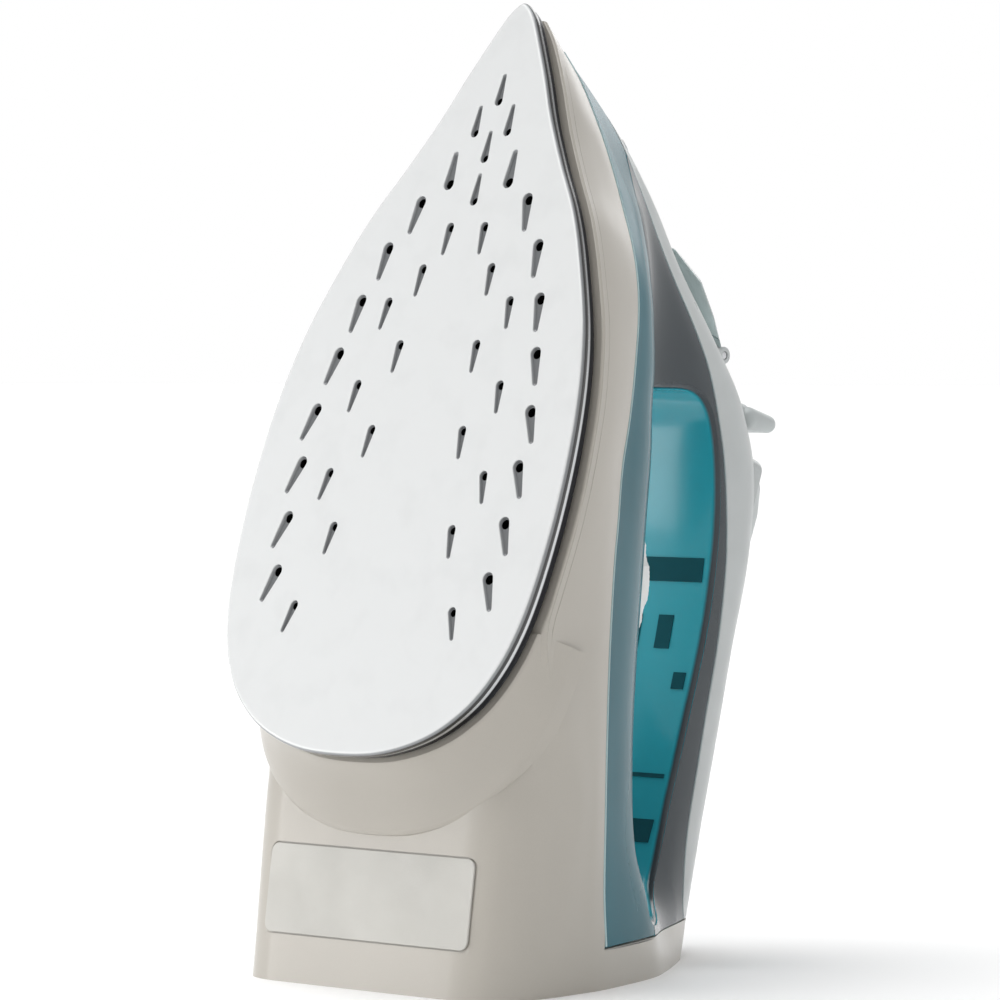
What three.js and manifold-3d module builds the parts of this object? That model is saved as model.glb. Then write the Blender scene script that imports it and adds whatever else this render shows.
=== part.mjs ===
// Steam iron standing on its heel. Millimetres, +Z up, soleplate facing -Y, the user's left at +X.
// Everything is built in the ironing frame (x forward with the nose at 0, y to the left, z up from the
// sole) and then stood on the heel. "s" is the distance behind the nose, so x = -s.
import * as THREE from "three";
import { ConvexGeometry } from "three/addons/geometries/ConvexGeometry.js";
import { mergeVertices } from "three/addons/utils/BufferGeometryUtils.js";
import Module from "manifold-3d";

const wasm = await Module();
wasm.setup();

// ---------------------------------------------------------------- driving dimensions
const SOLE_LENGTH = 225; // nose to the rear of the soleplate
const LEAN_DEG = 20.3; // the heel leans the iron back by this much
const HEEL_DROP = 277; // nose tip above the ground when it stands
const REST_SHIFT = 8; // puts the origin under the middle of the heel
const GAP = 0.3; // between pieces that touch
const WALL = 2.4;
const SKIRT_Z = 8; // lower edge of the body above the sole
const DIAL = { s: 152, z: 65, r: 31, h: 9.6, tilt: 15.2 }; // foot of its axis on the tank's top
const SELECTOR = { s: 80.5, z: 123, r: 4.6, tilt: 11.5 };
const PUMP = { s: 108.5, y: 8.2, r: 6.1, bore: 4.4, z0: 112, z1: 126.5 };
const LID_HINGE = { s: 66.5, z: 111 };
const NOZZLE = { s: 24.6, z: 51.6, tilt: 60 };
const ROD = { s: 75, r: 1.6 };
const GLAND = { r: 4.1, bore: 3, y: 26, z: 4.7, length: 17 }; // in the standing frame
const FILLER = { s: 53, r: 5.4 };
const RAD = Math.PI / 180;

// half outline of the soleplate: distance behind the nose, half width
const SOLE = [
  [0, 0], [1.2, 2.3], [4, 4.9], [9, 7.9], [22.5, 15], [36, 21.5], [50, 29.5], [64, 38.2], [79, 45.2],
  [101, 53.2], [124, 57.6], [150, 59], [175, 57.6], [192, 54], [205, 47.5], [214, 38.8], [220, 28.5],
  [224, 15], [SOLE_LENGTH, 0],
];

// body rails: [s, half width, height]
const BODY = {
  skirt: [[2.5, 2.4], [8, 7], [15, 11.4], [25, 16.8], [36, 22.2], [50, 30.2], [65, 39.3], [80, 46.2],
    [101, 53.8], [125, 58.3], [150, 59.8], [175, 58.4], [195, 56.2], [225, 53.6], [245, 52.4], [270, 51.6],
    [292, 51.2]],
  seam: [[2.5, 1.9, 9.4], [8, 4.6, 15], [15, 8.4, 21.5], [25, 14, 25.5], [36, 20, 28.5], [50, 27.5, 30.5],
    [65, 36, 31], [80, 43, 30], [101, 50, 27.4], [125, 53.6, 27.2], [150, 54.9, 31], [175, 54, 38.6],
    [195, 53, 46], [225, 51.4, 58], [245, 50.6, 66], [258, 50.4, 72], [292, 50, 84]],
  shoulder: [[2.5, 1.6, 10.1], [8, 3.6, 16.8], [15, 6.6, 27], [25, 10.6, 37], [36, 16, 41.5], [50, 24, 43.6],
    [65, 32, 43.2], [80, 38.4, 42.8], [101, 43.6, 44], [125, 45.4, 49], [150, 45.2, 55.4], [175, 44.2, 63],
    [200, 43.2, 71.5], [225, 42.6, 82.5], [240, 43, 93], [256, 44, 99], [292, 44, 106]],
  neck: [[2.5, 1.3, 10.7], [8, 3, 17.8], [15, 5.5, 30], [25, 8.6, 44], [36, 12, 52], [50, 15.6, 58],
    [65, 18.2, 62], [80, 19.8, 64], [101, 21, 66], [125, 21.4, 70], [150, 21, 76], [175, 20.6, 84],
    [200, 20.8, 92], [225, 25, 102], [240, 33.5, 111], [256, 37.5, 114], [292, 38, 120]],
  side: [[2.5, 1, 11.1], [8, 2.4, 18.5], [15, 4.6, 31.6], [25, 7.4, 47.6], [36, 9.8, 57.5], [50, 12.2, 70],
    [65, 15, 84.5], [80, 17.8, 97], [101, 19.5, 108], [125, 20.4, 116], [150, 20.6, 121.5],
    [175, 20, 123.5], [200, 20, 126], [225, 21.4, 129], [240, 25.4, 130], [256, 27.4, 131], [292, 27.4, 136]],
  crown: [[2.5, 0.7, 11.4], [8, 1.7, 19], [15, 3.5, 32.6], [25, 5.6, 50.8], [36, 7.4, 66], [50, 8.8, 82],
    [65, 11.2, 101.2], [80, 13.8, 117.4], [101, 15.9, 128.8], [125, 16.1, 133.8], [150, 15.1, 136.4],
    [175, 14.8, 139.2], [200, 14.6, 141.4], [225, 15, 143.2], [240, 15.6, 143.8], [292, 17, 145]],
  top: [[2.5, 0, 11.7], [8, 0, 19.6], [15, 0, 33.6], [20, 0, 43.3], [25, 0, 52.6], [36, 0, 68.8],
    [50, 0, 85.5], [65, 0, 105.4], [80, 0, 122.2], [101, 0, 133.8], [125, 0, 138.8], [150, 0, 141.4],
    [175, 0, 144], [200, 0, 146.2], [225, 0, 148], [240, 0, 148.6], [292, 0, 149.4]],
};
const STATIONS = [2.5, 5, 8, 12, 17, 22, 28, 36, 45, 55, 65, 76, 88, 99.6, 115, 132, 148.4, 168, 184, 196,
  208, 220, 231, 241, 252, 266, 292];

// side view of the finger opening, anticlockwise: [s, z]
const WINDOW = [[101, 50], [95, 64], [89, 79], [86, 90], [88.5, 97.5], [96, 102.5], [109, 107.5],
  [124, 111.5], [142, 114.6], [165, 116.6], [195, 117.4], [214, 117.2], [228, 114.6], [237.5, 108.5],
  [240.6, 100],
  [238, 96.2], [229, 91.5], [212, 82.6], [180, 71.6], [152, 63.6], [125, 57], [110, 51.8]];

// ---------------------------------------------------------------- curves
// smooth curve through [s, v] points that never overshoots them
function monotone(points) {
  const n = points.length, x = points.map((p) => p[0]), y = points.map((p) => p[1]);
  const d = x.slice(1).map((v, i) => (y[i + 1] - y[i]) / (v - x[i]));
  const m = x.map((_, i) => {
    if (i === 0) return d[0];
    if (i === n - 1) return d[n - 2];
    return d[i - 1] * d[i] <= 0 ? 0 : (2 * d[i - 1] * d[i]) / (d[i - 1] + d[i]);
  });
  return (s) => {
    if (s <= x[0]) return y[0];
    if (s >= x[n - 1]) return y[n - 1];
    let i = 0;
    while (s > x[i + 1]) i++;
    const h = x[i + 1] - x[i], t = (s - x[i]) / h;
    return (2 * t ** 3 - 3 * t * t + 1) * y[i] + (t ** 3 - 2 * t * t + t) * h * m[i]
      + (3 * t * t - 2 * t ** 3) * y[i + 1] + (t ** 3 - t * t) * h * m[i + 1];
  };
}
const smooth = (a, b, s) => {
  const t = Math.min(1, Math.max(0, (s - a) / (b - a)));
  return t * t * (3 - 2 * t);
};
// Catmull-Rom through 2-D points, "per" steps a span
function through(points, per) {
  const n = points.length, out = [];
  const near = (i) => points[Math.min(n - 1, Math.max(0, i))];
  for (let i = 0; i < n - 1; i++)
    for (let k = 0; k < per; k++) {
      const t = k / per, [a, b, c, d] = [near(i - 1), near(i), near(i + 1), near(i + 2)];
      out.push([0, 1].map((j) => 0.5 * (2 * b[j] + (c[j] - a[j]) * t
        + (2 * a[j] - 5 * b[j] + 4 * c[j] - d[j]) * t * t + (3 * b[j] - a[j] - 3 * c[j] + d[j]) * t ** 3)));
    }
  out.push(points[n - 1]);
  return out;
}

// ---------------------------------------------------------------- joining and cutting
// a closed geometry as a manifold-3d solid: shared vertices merged, collapsed faces left out
function solid(geometry) {
  const bare = new THREE.BufferGeometry().setAttribute("position", geometry.getAttribute("position"));
  const made = geometry.userData.merged ? geometry : mergeVertices(bare.setIndex(geometry.index), 1e-4);
  const index = made.index.array, triVerts = [];
  for (let i = 0; i < index.length; i += 3) {
    const [a, b, c] = index.slice(i, i + 3);
    if (a !== b && b !== c && a !== c) triVerts.push(a, b, c);
  }
  const mesh = new wasm.Mesh({
    numProp: 3,
    vertProperties: new Float32Array(made.attributes.position.array),
    triVerts: new Uint32Array(triVerts),
  });
  mesh.merge();
  return new wasm.Manifold(mesh);
}
function geometryOf(made) {
  const m = made.getMesh(), n = m.numProp, v = new Float32Array(m.numVert * 3);
  for (let i = 0; i < m.numVert; i++) v.set(m.vertProperties.subarray(i * n, i * n + 3), i * 3);
  const geometry = new THREE.BufferGeometry().setAttribute("position", new THREE.BufferAttribute(v, 3))
    .setIndex(new THREE.BufferAttribute(m.triVerts, 1));
  geometry.userData.merged = true;
  return geometry;
}
const join = (...all) => geometryOf(all.map(solid).reduce((a, b) => a.add(b)));
const cut = (from, ...all) => geometryOf(all.map(solid).reduce((a, b) => a.subtract(b), solid(from)));
const common = (...all) => geometryOf(all.map(solid).reduce((a, b) => a.intersect(b)));
// the largest body of a cut shell, without the thin slivers that the cuts leave
const biggest = (g) => geometryOf(solid(g).simplify(0.09).decompose()
  .sort((a, b) => b.volume() - a.volume())[0]);

// ---------------------------------------------------------------- shapes
const cylinder = (r, h, n = 20, r2 = r) => new THREE.CylinderGeometry(r2, r, h, n).rotateX(Math.PI / 2)
  .translate(0, 0, h / 2);
const block = (x, y, z) => new THREE.BoxGeometry(x, y, z);
const ball = (r, x, y, z, n = 12) => new THREE.SphereGeometry(r, n, n / 2).translate(x, y, z);
const hull = (...all) => new ConvexGeometry(all.flatMap((g) => Array.from(
  { length: g.attributes.position.count },
  (_, i) => new THREE.Vector3().fromBufferAttribute(g.attributes.position, i))));
// an outline of [x, y] points raised from z = 0
const prism = (outline, height) => new THREE.ExtrudeGeometry(
  new THREE.Shape(outline.map(([x, y]) => new THREE.Vector2(x, y))), { depth: height, bevelEnabled: false });
// an outline seen from the side, [s, z], swept across the iron between two y values
const sideways = (outline, y0, y1) => prism(outline.map(([s, z]) => [-s, z]), y1 - y0).rotateX(Math.PI / 2)
  .translate(0, y1, 0);
const across = (outline) => sideways(outline, -100, 100);
const arc = (x, y, r, from, to, n) => Array.from({ length: n + 1 }, (_, i) => {
  const a = (from + ((to - from) * i) / n) * RAD;
  return [x + r * Math.cos(a), y + r * Math.sin(a)];
});
const roundBlock = (x0, x1, y0, y1, z0, z1, r, n = 4) => prism([
  ...arc(x1 - r, y0 + r, r, -90, 0, n), ...arc(x1 - r, y1 - r, r, 0, 90, n),
  ...arc(x0 + r, y1 - r, r, 90, 180, n), ...arc(x0 + r, y0 + r, r, 180, 270, n),
], z1 - z0).translate(0, 0, z0);
// round bar along a path of [s, y, z] points
function tube(points, r, steps, sides = 8, tension = 0.25) {
  const path = new THREE.CatmullRomCurve3(points.map(([s, y, z]) => new THREE.Vector3(-s, y, z)), false,
    "catmullrom", tension);
  const ring = arc(0, 0, r, 0, 360 - 360 / sides, sides - 1).map(([x, y]) => new THREE.Vector2(x, y));
  return new THREE.ExtrudeGeometry(new THREE.Shape(ring), { steps, extrudePath: path, bevelEnabled: false });
}
// a shape made along +Z leans forward by deg, then its foot goes to s, y, z
const leaning = (g, deg, s, y, z) => g.rotateY(deg * RAD).translate(-s, y, z);
// a closed outline moved outwards by d, or inwards when d is negative, with mitred corners
function grown(outline, d) {
  const n = outline.length, side = outline.reduce((sum, p, i) => {
    const q = outline[(i + 1) % n];
    return sum + p[0] * q[1] - q[0] * p[1];
  }, 0) > 0 ? d : -d;
  const along = (p, q) => {
    const l = Math.hypot(q[0] - p[0], q[1] - p[1]);
    return [(q[0] - p[0]) / l, (q[1] - p[1]) / l];
  };
  return outline.map((p, i) => {
    const u = along(outline[(i + n - 1) % n], p), v = along(p, outline[(i + 1) % n]);
    const k = side / (1 + u[0] * v[0] + u[1] * v[1]);
    return [p[0] + (u[1] + v[1]) * k, p[1] - (u[0] + v[0]) * k];
  });
}
// rings of [x, y, z] points joined into a closed skin, with the same triangles capping both ends
function loft(rings, caps) {
  const n = rings[0].length, last = (rings.length - 1) * n, t = [];
  for (let r = 0; r < last; r += n)
    for (let i = 0; i < n; i++) {
      const a = r + i, b = r + ((i + 1) % n);
      t.push(a, b, b + n, a, b + n, a + n);
    }
  for (const [a, b, c] of caps) t.push(a, b, c, last + a, last + c, last + b);
  const made = new THREE.BufferGeometry()
    .setAttribute("position", new THREE.Float32BufferAttribute(rings.flat(2), 3)).setIndex(t);
  if (solid(made).volume() < 0) made.setIndex(t.reverse());
  return made;
}

// ---------------------------------------------------------------- outline and body surfaces
// outline of the sole moved inwards, as [x, y] points; what would cross the centre line is left out
function soleOutline(inset) {
  const right = SOLE.slice(1, -1).map(([s, w]) => [s, -w]).reverse();
  const moved = grown([...SOLE, ...right], -inset).slice(0, SOLE.length);
  let k = moved.length - 1;
  while (k > 0 && moved[k - 1][1] > 0) k--;
  const [a, b] = [moved[Math.max(0, k - 1)], moved[k]];
  const nose = a[0] + ((b[0] - a[0]) * a[1]) / (a[1] - b[1]);
  const half = [[k ? nose : a[0], 0], ...moved.slice(Math.max(1, k), -1), [moved.at(-1)[0], 0]];
  return [...half, ...half.slice(1, -1).map(([s, w]) => [s, -w]).reverse()].map(([s, w]) => [-s, w]);
}
const plate = (inset, z0, z1) => prism(soleOutline(inset), z1 - z0).translate(0, 0, z0);
const at = (outline, z) => outline.map(([x, y]) => [x, y, z]);
const behind = (g, s) => cut(g, block(400, 400, 400).translate(200 - s, 0, 0));
const rail = Object.fromEntries(Object.entries(BODY).map(([name, p]) => [name, {
  y: monotone(p.map((q) => [q[0], q[1]])),
  z: name === "skirt" ? null : monotone(p.map((q) => [q[0], q[2]])),
}]));
const keel = monotone([[0, SKIRT_Z], [180, SKIRT_Z], [203, 14.5], [222, 19.4], [231, 20.6], [292, 33.4]]);

// half section of the body, bottom centre to top centre
function section(s, per) {
  const zb = keel(s), w = rail.skirt.y(s), k = smooth(178, 228, s);
  const low = [w - 0.6 - 15.4 * k, zb], corner = [w - 5.2 * k, zb + 1.2 + 4.4 * k];
  const z3 = rail.seam.z(s), y3 = rail.seam.y(s), z2 = corner[1] + (z3 - corner[1]) * 0.45;
  const flank = [w + (y3 - w) * (0.3 - 0.2 * k), z2];
  const up = ["seam", "shoulder", "neck", "side", "crown", "top"].map((n) => [rail[n].y(s), rail[n].z(s)]);
  return [[0, zb], low, ...through([corner, flank, ...up], per)];
}
function inwards(points, d) {
  return points.map((p, i) => {
    if (i === 0) return [0, p[1] + d];
    if (i === points.length - 1) return [0, p[1] - d];
    const a = points[i - 1], b = points[i + 1], l = Math.hypot(b[0] - a[0], b[1] - a[1]);
    return [Math.max(0.15, p[0] - (d * (b[1] - a[1])) / l), p[1] + (d * (b[0] - a[0])) / l];
  });
}
const RISE = 0.06; // each point of a section is at least this far above the one before it
// the body's skin from station "from" back, moved inwards by inset
function body(inset, from, per) {
  const stations = [from, ...STATIONS.filter((s) => s > from + 1)];
  const rings = stations.map((s) => {
    const half = inset ? inwards(section(s, per), inset) : section(s, per);
    for (let i = 1; i < half.length; i++) half[i][1] = Math.max(half[i][1], half[i - 1][1] + RISE);
    const right = half.slice(1, -1).map(([y, z]) => [-s, -y, z]).reverse();
    return [...half.map(([y, z]) => [-s, y, z]), ...right];
  });
  const n = rings[0].length, caps = [];
  for (let i = 0; i < n / 2; i++) {
    const [r0, r1, l0, l1] = [i, i + 1, (n - i) % n, n - i - 1];
    if (r0 !== l0) caps.push([r0, l0, l1 === r1 ? r1 : l1]);
    if (l1 !== r1) caps.push([r0, l1, r1]);
  }
  return loft(rings, caps);
}

// ---------------------------------------------------------------- standing frame
const ct = Math.cos(LEAN_DEG * RAD), st = Math.sin(LEAN_DEG * RAD);
const STAND = new THREE.Matrix4().set(0, 1, 0, 0, st, 0, ct, REST_SHIFT, ct, 0, -st, HEEL_DROP, 0, 0, 0, 1);
const UNSTAND = STAND.clone().invert();
const fromGround = (g) => g.applyMatrix4(UNSTAND);

// ---------------------------------------------------------------- regions that divide the shell
const curve = (points, from, to, step) => {
  const f = monotone(points), out = [];
  for (let s = from; s <= to + 1e-6; s += step) out.push([s, f(s)]);
  return out;
};
const SEAM = BODY.seam.map(([s, , z]) => [s, z]);
const COVER = [[8, 26], [15, 33], [22, 42], [30, 50], [37, 57.5], [48, 68], [57, 77], [65, 86], [73, 93],
  [82, 99], [90, 103.6], [100, 109], [115, 115], [131, 120], [160, 125], [184, 128], [212, 131.2],
  [236, 137.5], [260, 143]];
const SPLIT = [[20, 46.5], [40, 47], [60, 47], [80, 47.4], [92, 49.5], [104, 56], [125, 63], [152, 70],
  [180, 79], [212, 91], [236, 101], [252, 101.5], [262, 103]];
// the panel ends on a line parallel to the ground, RIM above it
const RIM = 11.4;
const rimS = (z) => (HEEL_DROP - RIM - z * st) / ct;
const flip = (points) => points.slice().reverse();
const tankArea = [...curve(SEAM, 4, 254, 10), [rimS(71), 71], [rimS(101.5), 101.5],
  ...flip(curve(SPLIT, 27, 243, 8)), ...flip(curve(COVER, 6, 24, 6)), [3, 19]];
const gripArea = [...curve(SPLIT, 27, 243, 8), [rimS(101.5), 101.5], [rimS(137.2), 137.2],
  ...flip(curve(COVER, 30, 230, 8))];
const coverArea = [...curve(COVER, 6, 24, 6), ...curve(COVER, 30, 230, 8), [rimS(137.2), 137.2],
  [rimS(165), 165], [-10, 165], [-10, 24]];
const hollowArea = grown(tankArea.filter(([s]) => s > 20), -WALL);

// ---------------------------------------------------------------- shells
const HEEL_FROM = 185.3;
// the lip that runs round behind the sole and down to the heel: [set back, height above the sole]
const LIP = [[0, SKIRT_Z], [0.3, 9], [2.6, 12], [7, 15.4], [15, 20.2], [16.2, 21.6], [16.4, 26]];
const lipRing = soleOutline(-0.3);
const lipFace = lipRing.map(([x, y]) => new THREE.Vector2(x, y));
const heelBase = behind(loft(LIP.map(([back, z]) => at(lipRing.map(([x, y]) => [x - back, y]), z)),
  THREE.ShapeUtils.triangulateShape(lipFace, []).map(([a, b, c]) => [a, c, b])), HEEL_FROM);
const outer = cut(join(body(0, 2.5, 2), heelBase), across(WINDOW),
  fromGround(block(400, 400, 100).translate(0, 0, -50)));
const cavity = cut(body(WALL, 14, 1), across(grown(WINDOW, WALL)));
const mouth = plate(3.45, SKIRT_Z - 1, 24);

let lowerBody = cut(outer, across(grown(tankArea, GAP / 2)), across(grown(gripArea, GAP / 2)),
  across(grown(coverArea, GAP / 2)), cavity, mouth);
let tank = common(outer, across(grown(tankArea, -GAP / 2)));
const tankHollow = common(cavity, across(hollowArea));
let grip = cut(common(outer, across(grown(gripArea, -GAP / 2))), cavity);
let cover = cut(common(outer, across(grown(coverArea, -GAP / 2))), cavity);

// ---------------------------------------------------------------- soleplate and heater
// slots: [distance behind the nose, off the centre line, fan-out in degrees, long, hole at the rear]
const TIP_SLOTS = [[27, 0, 0, 0], [44.5, 0, 0, 0], [57.5, 0, 0, 0], [36.5, 6.2, 0, 0], [51.5, 11.3, 0, 1]];
const FAN_SLOTS = [[65, 21, 9.5, 1], [79, 29, 6, 1], [95, 34.5, 8, 1], [111, 38.5, 15, 1], [128, 42, 19, 1],
  [144, 42.5, 20, 1], [160.5, 42.5, 20, 1], [176.5, 41.5, 20, 1], [72.5, 6.7, 3, 0], [85, 13.3, 3.5, 0],
  [95, 23.5, 7, 0], [108, 14.8, 3, 0], [120, 27.5, 7, 0], [133.5, 17.7, 6.5, 0], [146.5, 30, 12, 0],
  [162.5, 23, 8.5, 0], [186, 31, 16, 0]];
function slot(s, y, fan, long, headAtRear) {
  const length = long ? 12 : 10, r = long ? 1.9 : 1.45, tail = length / 2;
  const side = [[-tail, 0], [-tail + 0.6 * r, 0.9 * r], [0.4, 0.86 * r], [tail - 0.3 * r, 0.4 * r]];
  const shape = [...side, [tail, 0], ...side.slice(1).map(([u, v]) => [u, -v]).reverse()];
  const turn = (q) => {
    const u = headAtRear ? -q[0] : q[0], a = fan * RAD;
    return [-(s + u * Math.cos(a) - q[1] * Math.sin(a)), y + u * Math.sin(a) + q[1] * Math.cos(a)];
  };
  const hole = turn([-tail + 1.15 * r, 0]);
  return join(prism(shape.map(turn), 1).translate(0, 0, -0.1),
    cylinder(0.72 * r, 4, 5).translate(hole[0], hole[1], -0.5));
}
const slots = [];
for (const [rows, rear] of [[TIP_SLOTS, true], [FAN_SLOTS, false]])
  for (const [s, y, fan, long] of rows) {
    slots.push(slot(s, y, fan, long, rear));
    if (y) slots.push(slot(s, -y, -fan, long, rear));
  }
const EDGE = 0.8;
const soleRings = [at(soleOutline(EDGE), 0), at(soleOutline(0), EDGE), at(soleOutline(0), 2.4)];
const soleFace = soleOutline(EDGE).map(([x, y]) => new THREE.Vector2(x, y));
const soleCaps = THREE.ShapeUtils.triangulateShape(soleFace, []).map(([a, b, c]) => [a, c, b]);
const soleplate = cut(loft(soleRings, soleCaps), ...slots);
const casting = cut(join(plate(0.7, 2.7, 5.6), plate(9, 5.5, 13)), plate(12, 2.6, 4.6),
  behind(plate(25, 7, 14), 56), ...[[80, 0], [130, 22], [130, -22], [170, 0]].map(([s, y]) =>
    cylinder(3, 6, 10).translate(-s, y, 3)));
const chamberCover = cut(behind(plate(22.5, 13.3, 14.6), 53),
  cylinder(2.2, 4, 12).translate(-ROD.s, 0, 12),
  cylinder(1.9, 4, 12).translate(-79, -12, 12));
const half = [[206, 24, 17.1], [178, 38, 17.1], [150, 42, 17.1], [118, 40.5, 17.1], [92, 33, 17.1],
  [68, 21, 17.1], [50, 9, 17.1], [46, 0, 17.1]];
const otherHalf = half.slice(0, -1).map(([s, y, z]) => [s, -y, z]).reverse();
const element = tube([...half, ...otherHalf], 3.4, 44, 8, 0.5);
const gasket = cut(plate(2.2, 5.9, 7.7), plate(8.6, 5, 9));

// ---------------------------------------------------------------- dial, thermostat
const onDial = (g) => leaning(g, DIAL.tilt, DIAL.s, 0, DIAL.z);
const notches = Array.from({ length: 12 }, (_, i) => cylinder(1.6, 20, 6).translate(DIAL.r + 0.5, 0, -1)
  .rotateZ((30 * i + 15) * RAD));
const dialCup = cut(join(cylinder(DIAL.r, DIAL.h - 1.5, 48).translate(0, 0, 3),
  cylinder(DIAL.r, 1.5, 48, DIAL.r - 1.5).translate(0, 0, 1.5 + DIAL.h)), ...notches,
  cylinder(27.5, DIAL.h - 4.6, 24).translate(0, 0, 2.9));
const dial = onDial(cut(join(dialCup, cylinder(5, DIAL.h - 3, 20).translate(0, 0, 3)),
  cylinder(2.9, 6, 16).translate(0, 0, 2.5)));
const dialRing = onDial(cut(cylinder(27, 2.2, 32),
  cylinder(22, 6, 24).translate(0, 0, -1)).translate(0, 0, 0.9));
const shaft = onDial(cylinder(2.6, 48.2, 16).translate(0, 0, -40));
const thermostat = onDial(cut(block(24, 20, 6).translate(0, 0, -44.4),
  cylinder(3.2, 10, 16).translate(0, 0, -42.6)));
const fuse = join(block(16, 6, 6).translate(-118, 10, 18), block(5, 10, 2).translate(-118, 10, 16));

// ---------------------------------------------------------------- steam selector, drip valve
const onSelector = (g) => leaning(g, SELECTOR.tilt, SELECTOR.s, 0, SELECTOR.z);
const fin = hull(ball(3.5, 0, 3.2, 10.6), ball(3.5, 0, -3.2, 10.6), ball(2.7, -0.4, 3.4, 20),
  ball(2.7, -0.4, -3.4, 20));
const selector = onSelector(join(cylinder(SELECTOR.r, 18, 24).translate(0, 0, -7), fin));
const rod = join(cylinder(ROD.r, 80, 12).translate(-ROD.s, 0, 25),
  cylinder(3, 2, 12).translate(-ROD.s, 0, 104));
const dosing = cut(cylinder(5.6, 14.6, 20).translate(-ROD.s, 0, 15.2),
  cylinder(2, 20, 12).translate(-ROD.s, 0, 14),
  cylinder(4.2, 10, 12).translate(-ROD.s, 0, 24.4));

// ---------------------------------------------------------------- buttons and pumps
const pad = (y0, y1, grow, z0, z1) =>
  roundBlock(-123 - grow, -94.5 + grow, y0 - grow, y1 + grow, z0, z1, 3 + grow);
const PAD = { y0: 0.9, y1: 13.4 };
// pads crowned along and across: they stand above the cover and fall away at both ends
const dome = hull(ball(5, -100, 6.4, 135.4), ball(5, -100, -6.4, 135.4), ball(5, -107, 6.4, 136.8),
  ball(5, -107, -6.4, 136.8), ball(5, -117.4, 6.4, 136.2), ball(5, -117.4, -6.4, 136.2),
  roundBlock(-123, -94.5, -13.4, 13.4, 120, 132.4, 3));
class Coil extends THREE.Curve {
  constructor(side) {
    super();
    this.side = side;
  }
  getPoint(t) {
    const a = 3 * 2 * Math.PI * t;
    return new THREE.Vector3(-PUMP.s - 3.2 * Math.cos(a), this.side * PUMP.y + 3.2 * Math.sin(a),
      125.2 + 6 * t);
  }
}
function pump(side) {
  const [y0, y1] = side > 0 ? [PAD.y0, PAD.y1] : [-PAD.y1, -PAD.y0];
  const button = join(common(pad(y0, y1, 0, 132, 150), dome),
    cylinder(1.8, 9, 12).translate(-PUMP.s, side * PUMP.y, 123.5));
  const wire = arc(0, 0, 0.5, 0, 270, 3).map(([x, y]) => new THREE.Vector2(x, y));
  const spring = new THREE.ExtrudeGeometry(new THREE.Shape(wire), {
    steps: 33, extrudePath: new Coil(side), bevelEnabled: false });
  const barrel = cut(cylinder(PUMP.r, PUMP.z1 - PUMP.z0, 24).translate(-PUMP.s, side * PUMP.y, PUMP.z0),
    cylinder(PUMP.bore, 20, 20).translate(-PUMP.s, side * PUMP.y, PUMP.z0 + 2.2));
  return { button, spring, barrel };
}
const spray = pump(1), burst = pump(-1);
const bezel = cut(roundBlock(-125.4, -92.1, -15, 15, 127.6, 132.4, 4.4),
  pad(PAD.y0, PAD.y1, 0.4, 126, 150), pad(-PAD.y1, -PAD.y0, 0.4, 126, 150));
const suction = tube([[80.5, 11, 36], [80.5, 11, 66], [79.5, 5, 99.5], [90, 0, 109], [100.5, 0, 115.5]],
  1.5, 20, 6);
const sprayTube = tube([[101, 8, 116], [91, 8, 109], [80, 9.4, 99], [65, 9.6, 77], [46, 8.8, 59.5],
  [37, 4.5, 56], [32.5, 0, 55.8]], 1.4, 24, 6);
const burstTube = tube([[101, -8, 116], [91, -8, 109], [80, -9.4, 99], [79, -12, 70], [79, -12, 16.6]],
  1.4, 20, 6);

// ---------------------------------------------------------------- nozzle, filler
const onNozzle = (g) => leaning(g, NOZZLE.tilt, NOZZLE.s, 0, NOZZLE.z);
const nozzle = onNozzle(cut(join(cylinder(2.6, 9, 16).translate(0, 0, -6),
  cylinder(2.6, 0.8, 16, 1.6).translate(0, 0, 2.98)), cylinder(0.8, 12, 8).translate(0, 0, -3)));
const nozzleSeat = onNozzle(cut(cylinder(4.3, 4.4, 20).translate(0, 0, -2.8),
  cylinder(2.95, 12, 20).translate(0, 0, -6)));
const nozzleHole = () => onNozzle(cylinder(4.6, 30, 20).translate(0, 0, -15));
const inlet = cut(common(cylinder(FILLER.r, 36.6, 20).translate(-FILLER.s, 0, 47.6), body(0.5, 14, 1)),
  cylinder(FILLER.r - 1.3, 60, 20).translate(-FILLER.s, 0, 40));
const pinAlong = (r, l) => new THREE.CylinderGeometry(r, r, l, 16).translate(-LID_HINGE.s, 0, LID_HINGE.z);
// the knuckle stays clear of the cover's skin as the lid swings up
const KNUCKLE = 2.05;
const lid = cut(hull(ball(3.2, -46.4, 3, 82.6), ball(3.2, -46.4, -3, 82.6), ball(5.4, -52.5, 3, 93),
  ball(5.4, -52.5, -3, 93), ball(4.6, -59, 3.2, 102.2), ball(4.6, -59, -3.2, 102.2),
  pinAlong(KNUCKLE, 12)),
  body(-0.4, 2.5, 2), pinAlong(1.26, 20), block(12, 8, 40).translate(-68.2, 10.1, 105),
  block(12, 8, 40).translate(-68.2, -10.1, 105));
const lidPin = pinAlong(1.2, 16.4);
const ears = cut(join(pinAlong(2.6, 16.8),
  block(5, 16.8, 8).translate(-LID_HINGE.s - 1.6, 0, LID_HINGE.z - 3.4)),
  pinAlong(1.24, 30), block(20, 12.8, 30).translate(-LID_HINGE.s, 0, LID_HINGE.z));

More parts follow.
